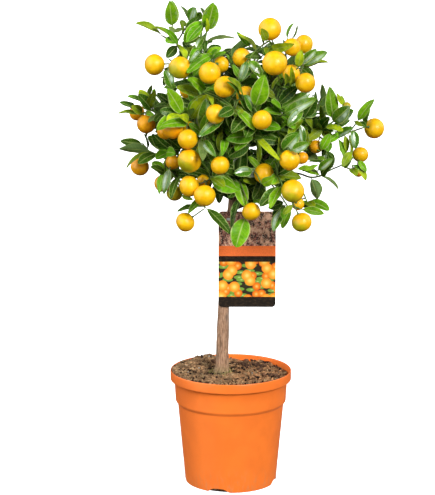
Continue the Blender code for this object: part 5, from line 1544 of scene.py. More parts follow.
def loose_height(x, y):
    """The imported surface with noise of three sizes, and heaps at the back left, the trunk and the front."""
    spot = np.stack([x, y, 0 * x], -1)
    rough = step_up(x * 0.7 + y, -70.0, 60.0)
    ridge = np.abs(cloudy(spot, 19.0, 3))
    clods = (1.4 + 3.0 * rough) * ridge + 1.5 * np.abs(cloudy(spot, 7.5, 5)) + 0.8 * cloudy(spot, 3.2, 9, 2)
    heap = 7.2 * step_up(0.55 * y - x, 15.0, 95.0) + 3.0 * np.exp(-((x - TRUNK_FOOT_X) ** 2 + y**2) / 900.0)
    heap = heap + 3.2 * step_up(-y, 20.0, 90.0)
    fringe = step_up(np.hypot(x, y), 99.0, 90.0)
    return soil_height(x, y) - 1.0 + (clods + heap) * (0.45 + 0.55 * fringe)


def soil_tint(points):
    """Light brown at the left, redder at the right, mottled light and dark."""
    share = step_up(points[..., 0] + 18 * cloudy(points, 22.0, 21), -35.0, 30.0)
    tint = blend((0.385, 0.238, 0.126), (0.430, 0.232, 0.112), share)
    tint = blend(tint, (0.58, 0.42, 0.24), step_up(cloudy(points, 5.0, 31), 0.35, 1.0) * 0.8)
    return blend(tint, (0.025, 0.014, 0.010), step_up(cloudy(points, 7.0, 41), 0.24, 0.8) * 0.95)


def colours(tint):
    """Colours with the fourth number that a colour layer has."""
    return np.concatenate([tint, np.ones((len(tint), 1))], axis=1)


def soil_surface():
    """The plug of mix: rings across its uneven top, then down the pot's inside and in along the floor."""
    turn = turns(SOIL_AROUND)
    radius = np.concatenate([np.linspace(1.6, 92.0, 54), [94.5, 96.3, 97.3]])
    x, y = radius[:, None] * np.cos(turn), radius[:, None] * np.sin(turn)
    top = np.stack([x, y, np.minimum(loose_height(x, y), SOIL_TOP)], -1)
    section = pot_rows()[0]
    inner = section[section.index((LIP_RADIUS - WALL - 1.4, 176.1)) :]
    wall = [(r - SOIL_GAP, z + SOIL_GAP) for r, z in inner if r > 0]
    rings = np.concatenate([top, turned(wall, turn)])
    start = np.array([[0, 0, float(loose_height(np.zeros(1), np.zeros(1))[0])]])
    return skins(rings[None], start, np.array([[0, 0, FLOOR + SOIL_GAP]]))


def lumps(centres, radii, seed):
    """Closed lumps: balls whose distance from the middle varies with lattice noise, each turned at random."""
    rng = np.random.default_rng(seed)
    ball = unit_ball(np.linspace(0, np.pi, LUMP_ROWS)[:, None], turns(LUMP_AROUND))
    count = len(centres)
    spot = ball[None] + rng.uniform(-50, 50, (count, 1, 1, 3))
    reach = radii[:, None, None, None] * (1 + 0.42 * lattice_noise(spot, 0.8, seed))[..., None]
    stretch = rng.uniform(0.65, 1.25, (count, 1, 1, 3))
    facing = unit(rng.normal(size=(count, 3)))
    side = unit(np.cross(facing, rng.normal(size=(count, 3))))
    frame_axes = np.stack([side, np.cross(facing, side), facing], 1)
    shape = np.einsum("nrai,nij->nraj", ball[None] * reach * stretch, frame_axes) + centres[:, None, None]
    return shape[:, 1:-1], shape[:, 0, 0], shape[:, -1, 0]


def spread(count, rng):
    """Random spots on the soil, as x and y, clear of the trunk."""
    radius = CRUMB_REACH * np.sqrt(rng.uniform(0.0, 1.0, count * 2))
    turn = rng.uniform(0, 2 * np.pi, count * 2)
    x, y = radius * np.cos(turn), radius * np.sin(turn)
    clear = np.hypot(x - TRUNK_FOOT_X, y) > 13
    return x[clear][:count], y[clear][:count]


def add_tinted(piece, skin, tints):
    """Adds skins to a piece, each with a tint of its own."""
    piece.add(*skin, tint=colours(np.repeat(tints, len(skin[0]) // len(tints), axis=0)))


def add_lumps(piece, x, y, radii, tints, seed):
    """Adds lumps to a piece, each sunk by a quarter of its width into the loose surface."""
    height = np.minimum(loose_height(x, y) + radii * 0.5, SOIL_TOP + 1 - radii)
    add_tinted(piece, skins(*lumps(np.stack([x, y, height], -1), radii, seed)), tints)


def add_strands(piece, paths, radii, tints):
    """Adds thin round strands along the paths. Their rings are circles that taper at both ends."""
    along = unit(np.gradient(paths, axis=1))
    side = unit(np.cross(along, np.array([0.31, 0.23, 0.92])))
    other = np.cross(side, along)
    taper = np.sin(np.linspace(0.12, 0.88, paths.shape[1]) * np.pi) ** 0.5
    spokes = circle(turns(FIBRE_AROUND), side[:, :, None], other[:, :, None])
    rings = paths[:, :, None] + spokes * (radii[:, None] * taper)[:, :, None, None]
    skin = skins(rings, paths[:, 0] - along[:, 0] * 0.3, paths[:, -1] + along[:, -1] * 0.3)
    add_tinted(piece, skin, tints)


def soil_crumbs(crumbs, fibres):
    """Crumbs, dark clods at the right and back, moss round the trunk's foot, pale grains and tan fibres."""
    piece = Piece("soil_crumbs")
    rng = np.random.default_rng(CRUMB_SEED)
    x, y = spread(crumbs, rng)
    radii = rng.uniform(0.7, 2.3, len(x)) ** 1.1
    mood = rng.uniform(0, 1, len(x))[:, None]
    tints = soil_tint(np.stack([x, y, 0 * x], -1)) * rng.uniform(0.5, 1.5, (len(x), 1))
    tints = np.where(mood > 0.86, (0.36, 0.26, 0.14), tints)
    tints = np.where(mood < 0.14, (0.020, 0.012, 0.010), tints)
    add_lumps(piece, x, y, radii, tints, CRUMB_SHAPE_SEED)
    turn = rng.uniform(math.radians(-14), math.radians(122), CLOD_COUNT)
    reach = rng.uniform(52, 91, CLOD_COUNT)
    x, y = reach * np.cos(turn), reach * np.sin(turn)
    tints = blend((0.070, 0.040, 0.026), (0.260, 0.140, 0.082), rng.uniform(0, 1, CLOD_COUNT))
    add_lumps(piece, x, y, rng.uniform(2.2, 4.6, CLOD_COUNT), tints, CLOD_SHAPE_SEED)
    turn = rng.uniform(0, 2 * np.pi, MOSS_COUNT)
    reach = 12.5 + rng.exponential(4.5, MOSS_COUNT)
    x, y = TRUNK_FOOT_X + reach * np.cos(turn), reach * np.sin(turn)
    tints = blend((0.17, 0.18, 0.045), (0.36, 0.30, 0.13), rng.uniform(0, 1, MOSS_COUNT))
    add_lumps(piece, x, y, rng.uniform(0.7, 1.7, MOSS_COUNT), tints, MOSS_SHAPE_SEED)
    x, y = spread(GRAIN_COUNT, rng)
    tints = np.tile((0.62, 0.60, 0.54), (len(x), 1))
    add_lumps(piece, x, y, rng.uniform(0.8, 1.5, len(x)), tints, GRAIN_SHAPE_SEED)
    x, y = spread(fibres, rng)
    count = len(x)
    turn = rng.uniform(0, np.pi, count)
    share = np.linspace(-0.5, 0.5, FIBRE_POINTS)[None]
    arch = (0.25 - share**2) * 4
    length = rng.uniform(5.0, 15.0, count)[:, None]
    bend = rng.uniform(-2.5, 2.5, count)[:, None] * arch
    px = x[:, None] + np.cos(turn)[:, None] * share * length - np.sin(turn)[:, None] * bend
    py = y[:, None] + np.sin(turn)[:, None] * share * length + np.cos(turn)[:, None] * bend
    inside = np.minimum(1.0, CRUMB_REACH / np.maximum(np.hypot(px, py), 1.0))
    px, py = px * inside, py * inside
    lift = rng.uniform(0.2, 1.4, count)[:, None] * arch
    paths = np.stack([px, py, np.minimum(loose_height(px, py) + 0.3 + lift, SOIL_TOP + 0.5)], -1)
    tints = blend((0.20, 0.12, 0.06), (0.50, 0.40, 0.24), rng.uniform(0, 1, count))
    add_strands(piece, paths, rng.uniform(0.22, 0.48, count), tints)
    return piece


def trunk_relief(depth):
    """The trunk's relief: fissures that run along it, low swellings, a knot and a flare at the soil."""

    def relief(place, turn):
        flat = 0 * place
        spot = np.stack([8 * np.cos(turn) + flat, 8 * np.sin(turn) + flat, place * 0.11 + 0 * turn], -1)
        fissures = -np.abs(cloudy(spot, 2.4, 51, 2)) * depth
        swell = 0.030 * cloudy(spot * np.array([0.4, 0.4, 2.4]), 7.0, 61, 2)
        flare = 0.20 * np.exp(-(((place - FLARE_PLACE) / 8.0) ** 2)) * (1 + 0.5 * np.cos(3 * turn + 0.6))
        angle = np.angle(np.exp(1j * (turn - KNOT_TURN)))
        knot = 0.16 * np.exp(-(((place - KNOT_PLACE) / 5.0) ** 2) - (angle / 0.35) ** 2)
        return 1.05 + fissures + swell + flare + knot

    return relief


def add_stem(piece, points, radii, grid, tint, relief=None):
    """Adds a tube. Tint is a function of its points, the share of the way along and its relief's depth."""
    rings, start, end, places = tube(points, radii, grid, relief)
    share = np.repeat(places / places[-1], grid[1])
    middle = rings.mean(axis=1, keepdims=True)
    reach = np.linalg.norm(rings - middle, axis=2)
    depth = (reach / np.maximum(reach.mean(axis=1, keepdims=True), 1e-6)).ravel() - 1
    inner = tint(rings.reshape(-1, 3), share, depth)
    shades = np.concatenate([inner[:1], inner, inner[-1:]])
    piece.add(*skins(rings[None], start[None], end[None]), tint=colours(shades))


def bark_tint(light, grey):
    """The bark's tint: tan, grey in clouds, and green at the soil. Painted shade greys it at the sides and
    darkens it in the fissures and in the crown."""

    def tint(points, share, depth):
        cloud = cloudy(points * np.array([1, 1, 0.35]), 14.0, 71)
        # Grey in clouds is weathering, and the grey that grows towards the trunk's left and right sides is
        # painted shade
        shade = blend(light, grey, step_up(cloud + 0.5 * np.abs(points[:, 0] + 13) / 12, 0.25, 1.0) * 0.8)
        # Painted shade: darker where the relief sinks into the fissures
        shade = blend(shade, (0.10, 0.065, 0.045), step_up(-depth, 0.015, 0.09) * 0.8)
        # Painted shade: darker from 455 to 500 mm up and above, where the crown shades the trunk
        shade = blend(shade, (0.115, 0.085, 0.060), step_up(points[:, 2], 455.0, 500.0) * 0.75)
        return blend(shade, (0.16, 0.15, 0.05), step_up(-points[:, 2], -205.0, -186.0) * 0.5)

    return tint


def limb_tint(points, share, depth):
    """Grey brown at the trunk, and olive towards the thin end."""
    shade = blend((0.15, 0.105, 0.070), (0.115, 0.115, 0.045), step_up(share, 0.3, 1.0))
    return shade * (1 + 0.35 * cloudy(points, 6.0, 81))[:, None]


def twig_tint(points, share, depth):
    """Olive at the limb, and fresh green at the tip."""
    shade = blend((0.105, 0.125, 0.035), (0.14, 0.27, 0.04), step_up(share, 0.2, 0.9))
    return shade * (1 + 0.25 * cloudy(points, 5.0, 91))[:, None]


def stalk_tint(points, share, depth):
    """Green with brown clouds."""
    return blend((0.13, 0.21, 0.05), (0.20, 0.15, 0.07), step_up(cloudy(points, 6.0, 95), -0.2, 0.8))


# Leaves


LEAF_ROWS = np.array([0.02, 0.09, 0.13, 0.20, 0.32, 0.46, 0.60, 0.74, 0.86, 0.95])
LEAF_ACROSS = np.array([-1.0, -0.5, 0.0, 0.5, 1.0, 0.5, 0.0, -0.5])
LEAF_SIDE = np.array([0.0, 1.0, 1.0, 1.0, 0.0, -1.0, -1.0, -1.0])
PETIOLE_SHARE = 0.10
LEAF_FULLNESS = 1.08


def add_leaves(piece, leaves, seed, fold, curl):
    """Adds leaves to a piece, as closed skins of eight points around and ten rings along.

    At the share s of the length, past the petiole, the half width is width / 2 * LEAF_FULLNESS *
    sin(pi t^0.88)^p, where t runs from 0 to 1 over the blade and p, from 0.5 to 0.72, is how pointed the leaf
    is. The two halves rise from the midrib by the fold's angle, the midline arches by 4 s (1 - s), the margin
    waves, and the blade twists and bends a little, as curl says.
    """
    if not leaves:
        return
    rng = np.random.default_rng(seed)
    base = np.array([leaf.base for leaf in leaves])
    axis = np.array([leaf.tip for leaf in leaves]) - base
    length = np.linalg.norm(axis, axis=1)[:, None, None]
    along = unit(axis)
    across = unit(np.cross(along, np.array([leaf.normal for leaf in leaves])))
    up = np.cross(across, along)
    width = np.array([leaf.width for leaf in leaves])[:, None, None]
    share = LEAF_ROWS[None, :, None]
    v = LEAF_ACROSS[None, None]
    side = LEAF_SIDE[None, None]
    count = len(leaves)

    def each(low, high):
        return rng.uniform(low, high, count)[:, None, None]

    t = np.clip((share - PETIOLE_SHARE) / (1 - PETIOLE_SHARE), 0, 1)
    blade = width / 2 * LEAF_FULLNESS * np.sin(np.pi * t**0.88) ** each(0.50, 0.72)
    half = np.maximum(blade, PETIOLE_HALF_WIDTH * (1 - 0.2 * share))
    thin = step_up(half / PETIOLE_HALF_WIDTH, 1.1, 3.0)
    angle = np.radians(fold) * each(0.5, 1.5) * thin
    aside = v * half * np.cos(angle)
    phase = each(0, 6.28)
    wave = np.sin(each(8, 15) * share + phase + np.sign(v) * 0.9) * half * v**2 * 0.11 * each(0.2, 1.2) * thin
    lift = (np.abs(v) - 0.45) * half * np.sin(angle) + wave
    body = np.where(side > 0, 0.22, np.where(side < 0, -0.22, 0.0)) * (1 - 0.3 * np.abs(v))
    keel = np.where((side < 0) & (v == 0), -0.55, 0.0)
    stout = 1 + (PETIOLE_HALF_WIDTH / 0.30 - 1) * (1 - thin)
    lift = lift + (body * stout + keel * thin)
    turn = np.radians(curl) * each(-1.0, 1.0) * (share - 0.25) * 2.2
    aside, lift = aside * np.cos(turn) - lift * np.sin(turn), aside * np.sin(turn) + lift * np.cos(turn)
    hook = each(-0.25, 0.5) * step_up(share, 0.6, 1.0) * length * 0.03
    aside = aside + each(-1, 1) * length * 0.035 * 4 * share * (1 - share)
    lift = lift + LEAF_ARCH * length * 4 * share * (1 - share) + LEAF_HALF_THICKNESS * thin
    lift = lift - hook * (1 - share) * 2
    middle = base[:, None, None] + along[:, None, None] * (length * share)[..., None]
    rings = middle + across[:, None, None] * aside[..., None] + up[:, None, None] * lift[..., None]
    points, quads, tris = skins(rings, base, base + axis)
    cell = (count, len(LEAF_ROWS), len(LEAF_ACROSS))
    grid = np.stack([np.broadcast_to(values, cell) for values in (t, v, side)], -1).reshape(count, -1, 3)
    first = np.zeros((count, 1, 3))
    last = np.tile([1.0, 0.0, 0.0], (count, 1, 1))
    blade_layer = np.concatenate([first, grid, last], axis=1).reshape(-1, 3)
    tint = np.array([TONES[leaf.tone][0] for leaf in leaves]) * rng.uniform(0.84, 1.16, (count, 1))
    tint = blend(tint, tint[:, [1, 1, 2]] * np.array([0.9, 1.05, 1.0]), rng.uniform(0, 0.22, count))
    shows = [TONES[leaf.tone][1:] for leaf in leaves]
    trim = np.array([(clear * RIB_SHOWS, clear * MARGIN_SHOWS, gloss) for clear, gloss in shows])
    size = len(points) // count
    petiole = 1 - step_up(grid[..., 0], 0.0, 0.06)
    petiole = np.concatenate([np.ones((count, 1)), petiole, np.zeros((count, 1))], axis=1).ravel()
    tints = blend(np.repeat(tint, size, axis=0), PETIOLE_COLOUR, petiole)
    piece.add(points, quads, tris, tint=colours(tints), blade=blade_layer, trim=np.repeat(trim, size, axis=0))


# Fruits


def ball_frame(centre, toward):
    """The direction from a fruit's middle to its stalk, and two directions across it."""
    axis = unit(np.array(toward) - np.array(centre))
    side = unit(np.cross(axis, (0.3, 0.95, 0.1) if abs(axis[2]) > 0.9 else (0.1, 0.2, 0.97)))
    return axis, side, np.cross(axis, side)


def fruit_surface(centre, radius, toward, seed, dimple):
    """A fruit as a ball about the axis to its stalk.

    At the angle a from the stalk the distance is radius * (1 - dimple exp(-(a / 0.26)^2) - 0.025
    exp(-((pi - a) / 0.3)^2)), with slight lobes in the turn and slow noise. It is flattened along the axis.
    """
    axis, side, other = ball_frame(centre, toward)
    polar = np.linspace(0, np.pi, FRUIT_ROWS)[:, None]
    turn = turns(FRUIT_AROUND)[None]
    reach = 1 - dimple * np.exp(-((polar / 0.26) ** 2)) - 0.025 * np.exp(-(((np.pi - polar) / 0.3) ** 2))
    reach = reach + 0.006 * np.sin(polar) * np.cos(9 * turn + seed)
    ball = unit_ball(polar, turn)
    reach = reach + 0.014 * lattice_noise(ball + seed * 7.3, 0.9, seed)
    local = ball * (reach * radius)[..., None] * np.array([1, 1, FRUIT_FLATTENING])
    shape = np.array(centre) + local @ np.stack([side, other, axis])
    return skins(shape[None, 1:-1], shape[0, 0][None], shape[-1, 0][None])


def peel_tint(points, centre, radius, tone, seed):
    """The main colour with the blush in clouds: for p and g a patch of the peel's own, else painted shade low
    at the back.
    """
    main, blush = PEELS[tone]
    offset = (points - np.array(centre)) / radius
    # For p and g the blush marks a patch of the peel's own colour. For the other tones it leans to the lower,
    # back side as painted shade
    leans = {"p": (-0.5, -0.35, -0.65), "a": (0.3, 0.3, -0.5), "g": (0.0, 0.0, 0.3)}
    lean = np.array(leans.get(tone, (0.15, 0.35, -0.75)))
    share = step_up(offset @ lean + 0.30 * cloudy(points, radius * 0.9, seed), 0.10, 0.85)
    return blend(main, blush, share * (0.95 if tone in "pag" else 0.75))


def calyx(centre, radius, toward, dimple):
    """A five-pointed calyx: rings that run from the stalk out to the star's edge and back in under it.

    The ring's radius is size * (1 + spread cos 5 turn), with the spread growing to the star's edge.
    """
    axis, side, other = ball_frame(centre, toward)
    turn = turns(CALYX_AROUND)
    foot = radius * FRUIT_FLATTENING * (1 - dimple * 0.8)
    rows = [(3.0, 1.15, 0.0), (1.1, 1.5, 0.08), (0.45, 2.4, 0.28), (0.15, 3.3, 0.34), (-0.6, 2.6, 0.25)]
    height, size, star = np.split(np.array(rows), 3, axis=1)
    size = size * (1 + star * np.cos(5 * turn)[None])
    height = foot + height - 0.06 * size**2
    centre = np.array(centre)
    rings = centre + circle(turn, side, other)[None] * size[..., None] + axis * height[..., None]
    start = centre + axis * (foot + 3.4)
    end = centre + axis * (foot - 1.5)
    return skins(rings[None], start[None], end[None])


# Tag and strap


def slot_edges(inset):
    """Half the strap's width where it passes the tag's front and back, drawn in by inset."""
    y = np.array([TAG_BOX[0][1], TAG_BOX[1][1]])
    return (STRAP_HALF_WIDTH - inset) * np.sqrt(1 - ((y - STRAP_MIDDLE_Y) / (STRAP_HALF_DEPTH - inset)) ** 2)


def tag_surface(bow):
    """The card: a grid with rounded corners and two slots left out, bowed forwards at its foot and sides."""
    (left, front, foot), (right, back, top) = TAG_BOX
    near = slot_edges(STRAP_THICKNESS)[0] - SLOT_CLEARANCE
    far = slot_edges(0)[1] + SLOT_CLEARANCE
    edges = [-far, -near, near, far]
    columns = np.unique(np.concatenate([np.linspace(left, right, TAG_COLUMNS), edges]).round(3))
    corner = TAG_CORNER * (1 - np.cos(np.linspace(0, np.pi / 2, TAG_CORNER_STEPS)))
    half = STRAP_HEIGHT / 2 + SLOT_CLEARANCE
    body = np.linspace(foot + TAG_CORNER, top - TAG_CORNER, TAG_ROWS)
    slots = [STRAP_Z - half, STRAP_Z + half]
    rows = np.unique(np.concatenate([foot + corner, body, slots, top - corner]).round(3))
    into = np.maximum(np.maximum(foot + TAG_CORNER - rows, rows - top + TAG_CORNER), 0)
    inset = TAG_CORNER - np.sqrt(np.maximum(TAG_CORNER**2 - into**2, 0))
    middle, reach = (left + right) / 2, (right - left) / 2
    x = middle + (columns[None] - middle) * (1 - inset / reach)[:, None]
    z = rows[:, None] + 0 * x
    forward = bow * (((STRAP_Z - z) / (STRAP_Z - foot)) ** 2 * 0.7 + ((x - 4) / (right - 4)) ** 2 * 0.3)

    def within(edges, low, high):
        return (edges[:-1] >= low - SNAP) & (edges[1:] <= high + SNAP)

    slot = within(columns, near, far) | within(columns, -far, -near)
    keep = ~(within(rows, *slots)[:, None] & slot[None])
    faces = [np.stack([x, y - forward, z], -1) for y in (front, back)]
    points, quads = solid_sheet(*faces, keep)
    printed = np.repeat([1.0, 0.0], x.size)
    used = np.unique(quads)
    order = np.zeros(len(points), int)
    order[used] = np.arange(len(used))
    return points[used], order[quads], printed[used]


def strap_surface():
    """The strap: a rounded flat section carried round an oval, as a closed ring of quads."""
    turn = turns(STRAP_AROUND)[:, None]
    corner = turns(STRAP_SECTION)[None]
    flat = np.sign(np.cos(corner)) * np.abs(np.cos(corner)) ** 0.6 * (STRAP_THICKNESS / 2)
    tall = np.sign(np.sin(corner)) * np.abs(np.sin(corner)) ** 0.35 * (STRAP_HEIGHT / 2)
    x = (STRAP_HALF_WIDTH - STRAP_THICKNESS / 2 + flat) * np.cos(turn)
    y = STRAP_MIDDLE_Y + (STRAP_HALF_DEPTH - STRAP_THICKNESS / 2 + flat) * np.sin(turn)
    points = np.stack([x, y, STRAP_Z + tall + 0 * turn], -1)
    index, over, _ = grid_cells(*points.shape[:2])
    ahead = np.roll(index, -1, axis=0)
    quads = np.stack([index, over, np.roll(over, -1, axis=0), ahead], -1).reshape(-1, 4)
    return points.reshape(-1, 3), quads


# The whole tree's growth, worked out once


class Tree:
    """The stems, the fruits and the leaves, each in its place."""

    def __init__(self):
        self.ends = limb_ends()
        self.runs = skeleton_runs(self.ends)
        self.space = Space()
        for owner, start, end, first, last in self.runs:
            self.space.add(owner, prism(start, end, max(first, last) + TEST_MARGIN))
        self.clusters = grow_fruits(self.space, self.runs)
        grow_leaves(self.space, self.ends)


GROWN = []


def grown_tree():
    """The tree, grown at the first call."""
    if not GROWN:
        GROWN.append(Tree())
    return GROWN[0]


def side_leaves(tree):
    """Places the side leaves. Gives each with its twig's points, from the nearest stem or twig on."""
    runs = list(tree.runs)
    found = []
    for *ends, width, roll, tone in SIDE_LEAVES:
        base, tip = Vector(ends[:3]), Vector(ends[3:])
        run = min(runs, key=lambda run: (nearest_on_run(base, run)[0] - base).length)
        normal = leaf_normal((tip - base).normalized(), roll)
        leaf = place_leaf(tree.space, run[0], [base], tip, normal, width)
        if leaf:
            leaf.tone = tone
            start, thickness = nearest_on_run(base, run)
            reach = leaf.base - start
            twig = [start, start + reach * 0.5 + Vector((0, 0, reach.length * SIDE_TWIG_LIFT)), leaf.base]
            found.append((leaf, twig if reach.length > thickness + SIDE_TWIG_LEAST else []))
            if reach.length > SPRIG_REACH:
                runs += [(run[0], *twig[i : i + 2], *SIDE_RUN_RADII[i : i + 2]) for i in range(2)]
    return found


def inner_leaves(tree, tries):
    """Leaves that fill the crown behind the listed ones, on the limbs and twigs, inside a drawn-in crown."""
    rng = random.Random(INNER_SEED)
    runs = [run for run in tree.runs if run[1].z > INNER_FOOT_Z]
    sizes = [(run[2] - run[1]).length for run in runs]
    found = []
    for number in range(tries):
        owner, start, end, _, _ = rng.choices(runs, sizes)[0]
        base = start + (end - start) * rng.uniform(0.1, 0.95)
        stem = (end - start).normalized()
        outward = (base - CROWN_CENTRE).normalized()
        side = Matrix.Rotation(math.radians(GOLDEN_ANGLE * number), 3, stem) @ stem.orthogonal().normalized()
        along = (stem * 0.35 + side + outward * 0.45 + Vector((0, 0.25, 0.05))).normalized()
        length = rng.uniform(*INNER_LENGTHS)
        hint = Vector((rng.uniform(-0.6, 0.6), rng.uniform(-0.9, 0.1), 0.7)) + outward * 0.5
        normal = (hint - along * hint.dot(along)).normalized()
        tip = base + along * length
        if not in_crown(CROWN_CENTRE + (tip - CROWN_CENTRE) * INNER_DRAW):
            continue
        width = length * rng.uniform(*INNER_WIDTHS)
        leaf = place_leaf(tree.space, owner, [base], tip, normal, width, clipped=True)
        if leaf:
            leaf.tone = rng.choice(INNER_TONES)
            found.append(leaf)
    return found


# Settings


class PotSettings(bpy.types.PropertyGroup):
    """The nursery pot."""

    colour: FloatVectorProperty(
        name="Colour", description="Colour of the moulded plastic", subtype="COLOR", size=3, min=0, max=1,
        default=(0.99, 0.207, 0.025),
    )
    notch: FloatProperty(
        name="Notch width", description="Width of each drain notch in the foot", subtype="DISTANCE",
        unit="LENGTH", default=0.037, min=0.01, max=0.04,
    )


class SoilSettings(bpy.types.PropertyGroup):
    """The potting mix."""

    crumbs: IntProperty(
        name="Crumbs", description="Loose crumbs on the surface", default=620, min=0, max=2000
    )
    fibres: IntProperty(name="Fibres", description="Loose fibres on the surface", default=150, min=1, max=800)
    damp: FloatProperty(
        name="Damp", description="How dark the damp patches are", subtype="FACTOR", default=0.45, min=0, max=1
    )


class BarkSettings(bpy.types.PropertyGroup):
    """The trunk and limbs."""

    fissures: FloatProperty(
        name="Fissures", description="Depth of the fissures as a share of the trunk's radius",
        subtype="FACTOR", default=0.10, min=0, max=0.3,
    )
    light: FloatVectorProperty(
        name="Light bark", description="Colour of the ridges", subtype="COLOR", size=3, min=0, max=1,
        default=(0.39, 0.24, 0.152),
    )
    # The grey colour also paints shade on the trunk's left and right sides
    grey: FloatVectorProperty(
        name="Grey bark", description="Colour of the weathered clouds", subtype="COLOR", size=3, min=0, max=1,
        default=(0.24, 0.18, 0.135),
    )


class TagSettings(bpy.types.PropertyGroup):
    """The hang tag and its strap."""

    panel: FloatVectorProperty(
        name="Panel", description="Colour of the mottled panel at the top", subtype="COLOR", size=3, min=0,
        max=1, default=(0.230, 0.085, 0.060),
    )
    band: FloatVectorProperty(
        name="Band", description="Colour of the band across the middle", subtype="COLOR", size=3, min=0,
        max=1, default=(0.98, 0.200, 0.045),
    )
    back: FloatVectorProperty(
        name="Back", description="Colour of the unprinted side", subtype="COLOR", size=3, min=0, max=1,
        default=(0.72, 0.70, 0.66),
    )
    strap: FloatVectorProperty(
        name="Strap", description="Colour of the strap", subtype="COLOR", size=3, min=0, max=1,
        default=(0.55, 0.56, 0.52),
    )
    bow: FloatProperty(
        name="Bow", description="How far the card's foot bends forwards", subtype="DISTANCE", unit="LENGTH",
        default=0.0018, min=0, max=0.006,
    )


class FoliageSettings(bpy.types.PropertyGroup):
    """The leaves."""

    fold: FloatProperty(
        name="Fold", description="Angle by which each half of a leaf rises from the midrib, in degrees",
        default=13.0, min=0, max=40,
    )
    curl: FloatProperty(
        name="Curl", description="Largest twist of a leaf along its length, in degrees", default=16.0, min=0,
        max=60,
    )
    fill: IntProperty(
        name="Fill", description="Tries at placing a leaf inside the crown", default=900, min=0, max=4000
    )
    underside: FloatVectorProperty(
        name="Underside", description="Colour of the underside", subtype="COLOR", size=3, min=0, max=1,
        default=(0.20, 0.34, 0.10),
    )
    rib: FloatVectorProperty(
        name="Rib", description="Colour of midrib, veins and margin", subtype="COLOR", size=3, min=0, max=1,
        default=(0.46, 0.58, 0.17),
    )


class FruitSettings(bpy.types.PropertyGroup):
    """The fruits."""

    pores: FloatProperty(
        name="Pores", description="Oil glands per metre of peel", default=780, min=100, max=3000
    )
    dimple: FloatProperty(
        name="Dimple", description="Depth of the dimple at the stalk as a share of the radius",
        subtype="FACTOR", default=0.07, min=0, max=0.3,
    )


class StageSettings(bpy.types.PropertyGroup):
    """Camera, lights and floor."""

    stand: FloatVectorProperty(
        name="Camera", description="Where the camera stands", subtype="TRANSLATION", unit="LENGTH", size=3,
        default=(-0.022, -2.94, 0.98),
    )
    pitch: FloatProperty(
        name="Pitch", description="How far the camera looks down, in degrees", default=11.25, min=-90, max=90
    )
    lens: FloatProperty(
        name="Lens", description="Focal length in millimetres", default=133.3, min=10, max=400
    )
    key: FloatProperty(name="Key", description="Strength of the soft main light", default=3.3, min=0, max=20)
    fill: FloatProperty(
        name="Fill", description="Strength of the light from the other side", default=2.3, min=0, max=20
    )
    rim: FloatProperty(
        name="Rim", description="Strength of each light from behind", default=1.1, min=0, max=20
    )
    around: FloatProperty(
        name="Around", description="Strength of the light from all sides", default=0.76, min=0, max=5
    )
    glow: FloatProperty(name="Glow", description="Strength of the lit floor", default=0.88, min=0, max=2)
    floor: FloatVectorProperty(
        name="Floor", description="Colour of the floor", subtype="COLOR", size=3, min=0, max=1,
        default=(0.93, 0.93, 0.93),
    )


SETTINGS = {
    "citrus_pot": PotSettings, "citrus_soil": SoilSettings, "citrus_bark": BarkSettings,
    "citrus_tag": TagSettings, "citrus_foliage": FoliageSettings, "citrus_fruit": FruitSettings,
    "citrus_stage": StageSettings,
}


# Operators


def leaves_finish(settings):
    """The leaves' finish, in the settings' colours."""
    return leaf_finish(tuple(settings.underside), tuple(settings.rib))


def make_leaves(name, leaves, seed, settings, finish, *nodes):
    """Makes a piece of leaves that stands for the nodes."""
    piece = Piece(name)
    add_leaves(piece, leaves, seed, settings.fold, settings.curl)
    piece.make(finish, "leaf", *nodes, margin=True)


class CITRUS_OT_pot(bpy.types.Operator):
    """Make the nursery pot"""

    bl_idname = "citrus.pot"
    bl_label = "Nursery pot"

    def execute(self, context):
        settings = context.scene.citrus_pot
        piece = Piece("pot_shell")
        piece.add(*pot_surface(settings.notch / MM))
        piece.make(pot_finish(tuple(settings.colour)), "pot", "nursery_pot", sharp=SHARP_ANGLE)
        return {"FINISHED"}


class CITRUS_OT_soil(bpy.types.Operator):
    """Make the potting mix and the loose bits on it"""

    bl_idname = "citrus.soil"
    bl_label = "Potting mix"

    def execute(self, context):
        settings = context.scene.citrus_soil
        finish = soil_finish(settings.damp)
        piece = Piece("soil_plug")
        points, quads, tris = soil_surface()
        piece.add(points, quads, tris, tint=colours(soil_tint(points)))
        piece.make(finish, "soil", "soil")
        soil_crumbs(settings.crumbs, settings.fibres).make(finish, "soil")
        return {"FINISHED"}


class CITRUS_OT_wood(bpy.types.Operator):
    """Make the trunk, the limbs and the young twigs"""

    bl_idname = "citrus.wood"
    bl_label = "Trunk and twigs"

    def execute(self, context):
        settings = context.scene.citrus_bark
        tree = grown_tree()
        piece = Piece("barked_wood")
        tint = bark_tint(tuple(settings.light), tuple(settings.grey))
        relief = trunk_relief(settings.fissures)
        add_stem(piece, [p for p, _ in TRUNK], [r for _, r in TRUNK], TRUNK_GRID, tint, relief)
        for points, first, last in LIMBS:
            add_stem(piece, points, limb_radii(len(points), first, last), LIMB_GRID, limb_tint)
        piece.make(bark_finish(), "bark", "trunk_and_branches")
        twigs = Piece("young_twigs")
        for shoot in SHOOTS:
            for number, twig in enumerate(shoot.twigs):
                points = stem_points(twig, number == 0, tree.ends)
                add_stem(twigs, points, stem_radii(len(points), number == 0), TWIG_GRID, twig_tint)
        twigs.make(stem_finish(), "bark")
        return {"FINISHED"}


class CITRUS_OT_tag(bpy.types.Operator):
    """Make the hang tag"""

    bl_idname = "citrus.tag"
    bl_label = "Hang tag"

    def execute(self, context):
        settings = context.scene.citrus_tag
        piece = Piece("tag_sheet")
        points, quads, printed = tag_surface(settings.bow / MM)
        piece.add(points, quads, face=np.stack([printed, printed, printed], -1))
        finish = tag_finish(tuple(settings.panel), tuple(settings.band), tuple(settings.back))
        piece.make(finish, "tag", "hang_tag", sharp=SHARP_ANGLE)
        return {"FINISHED"}


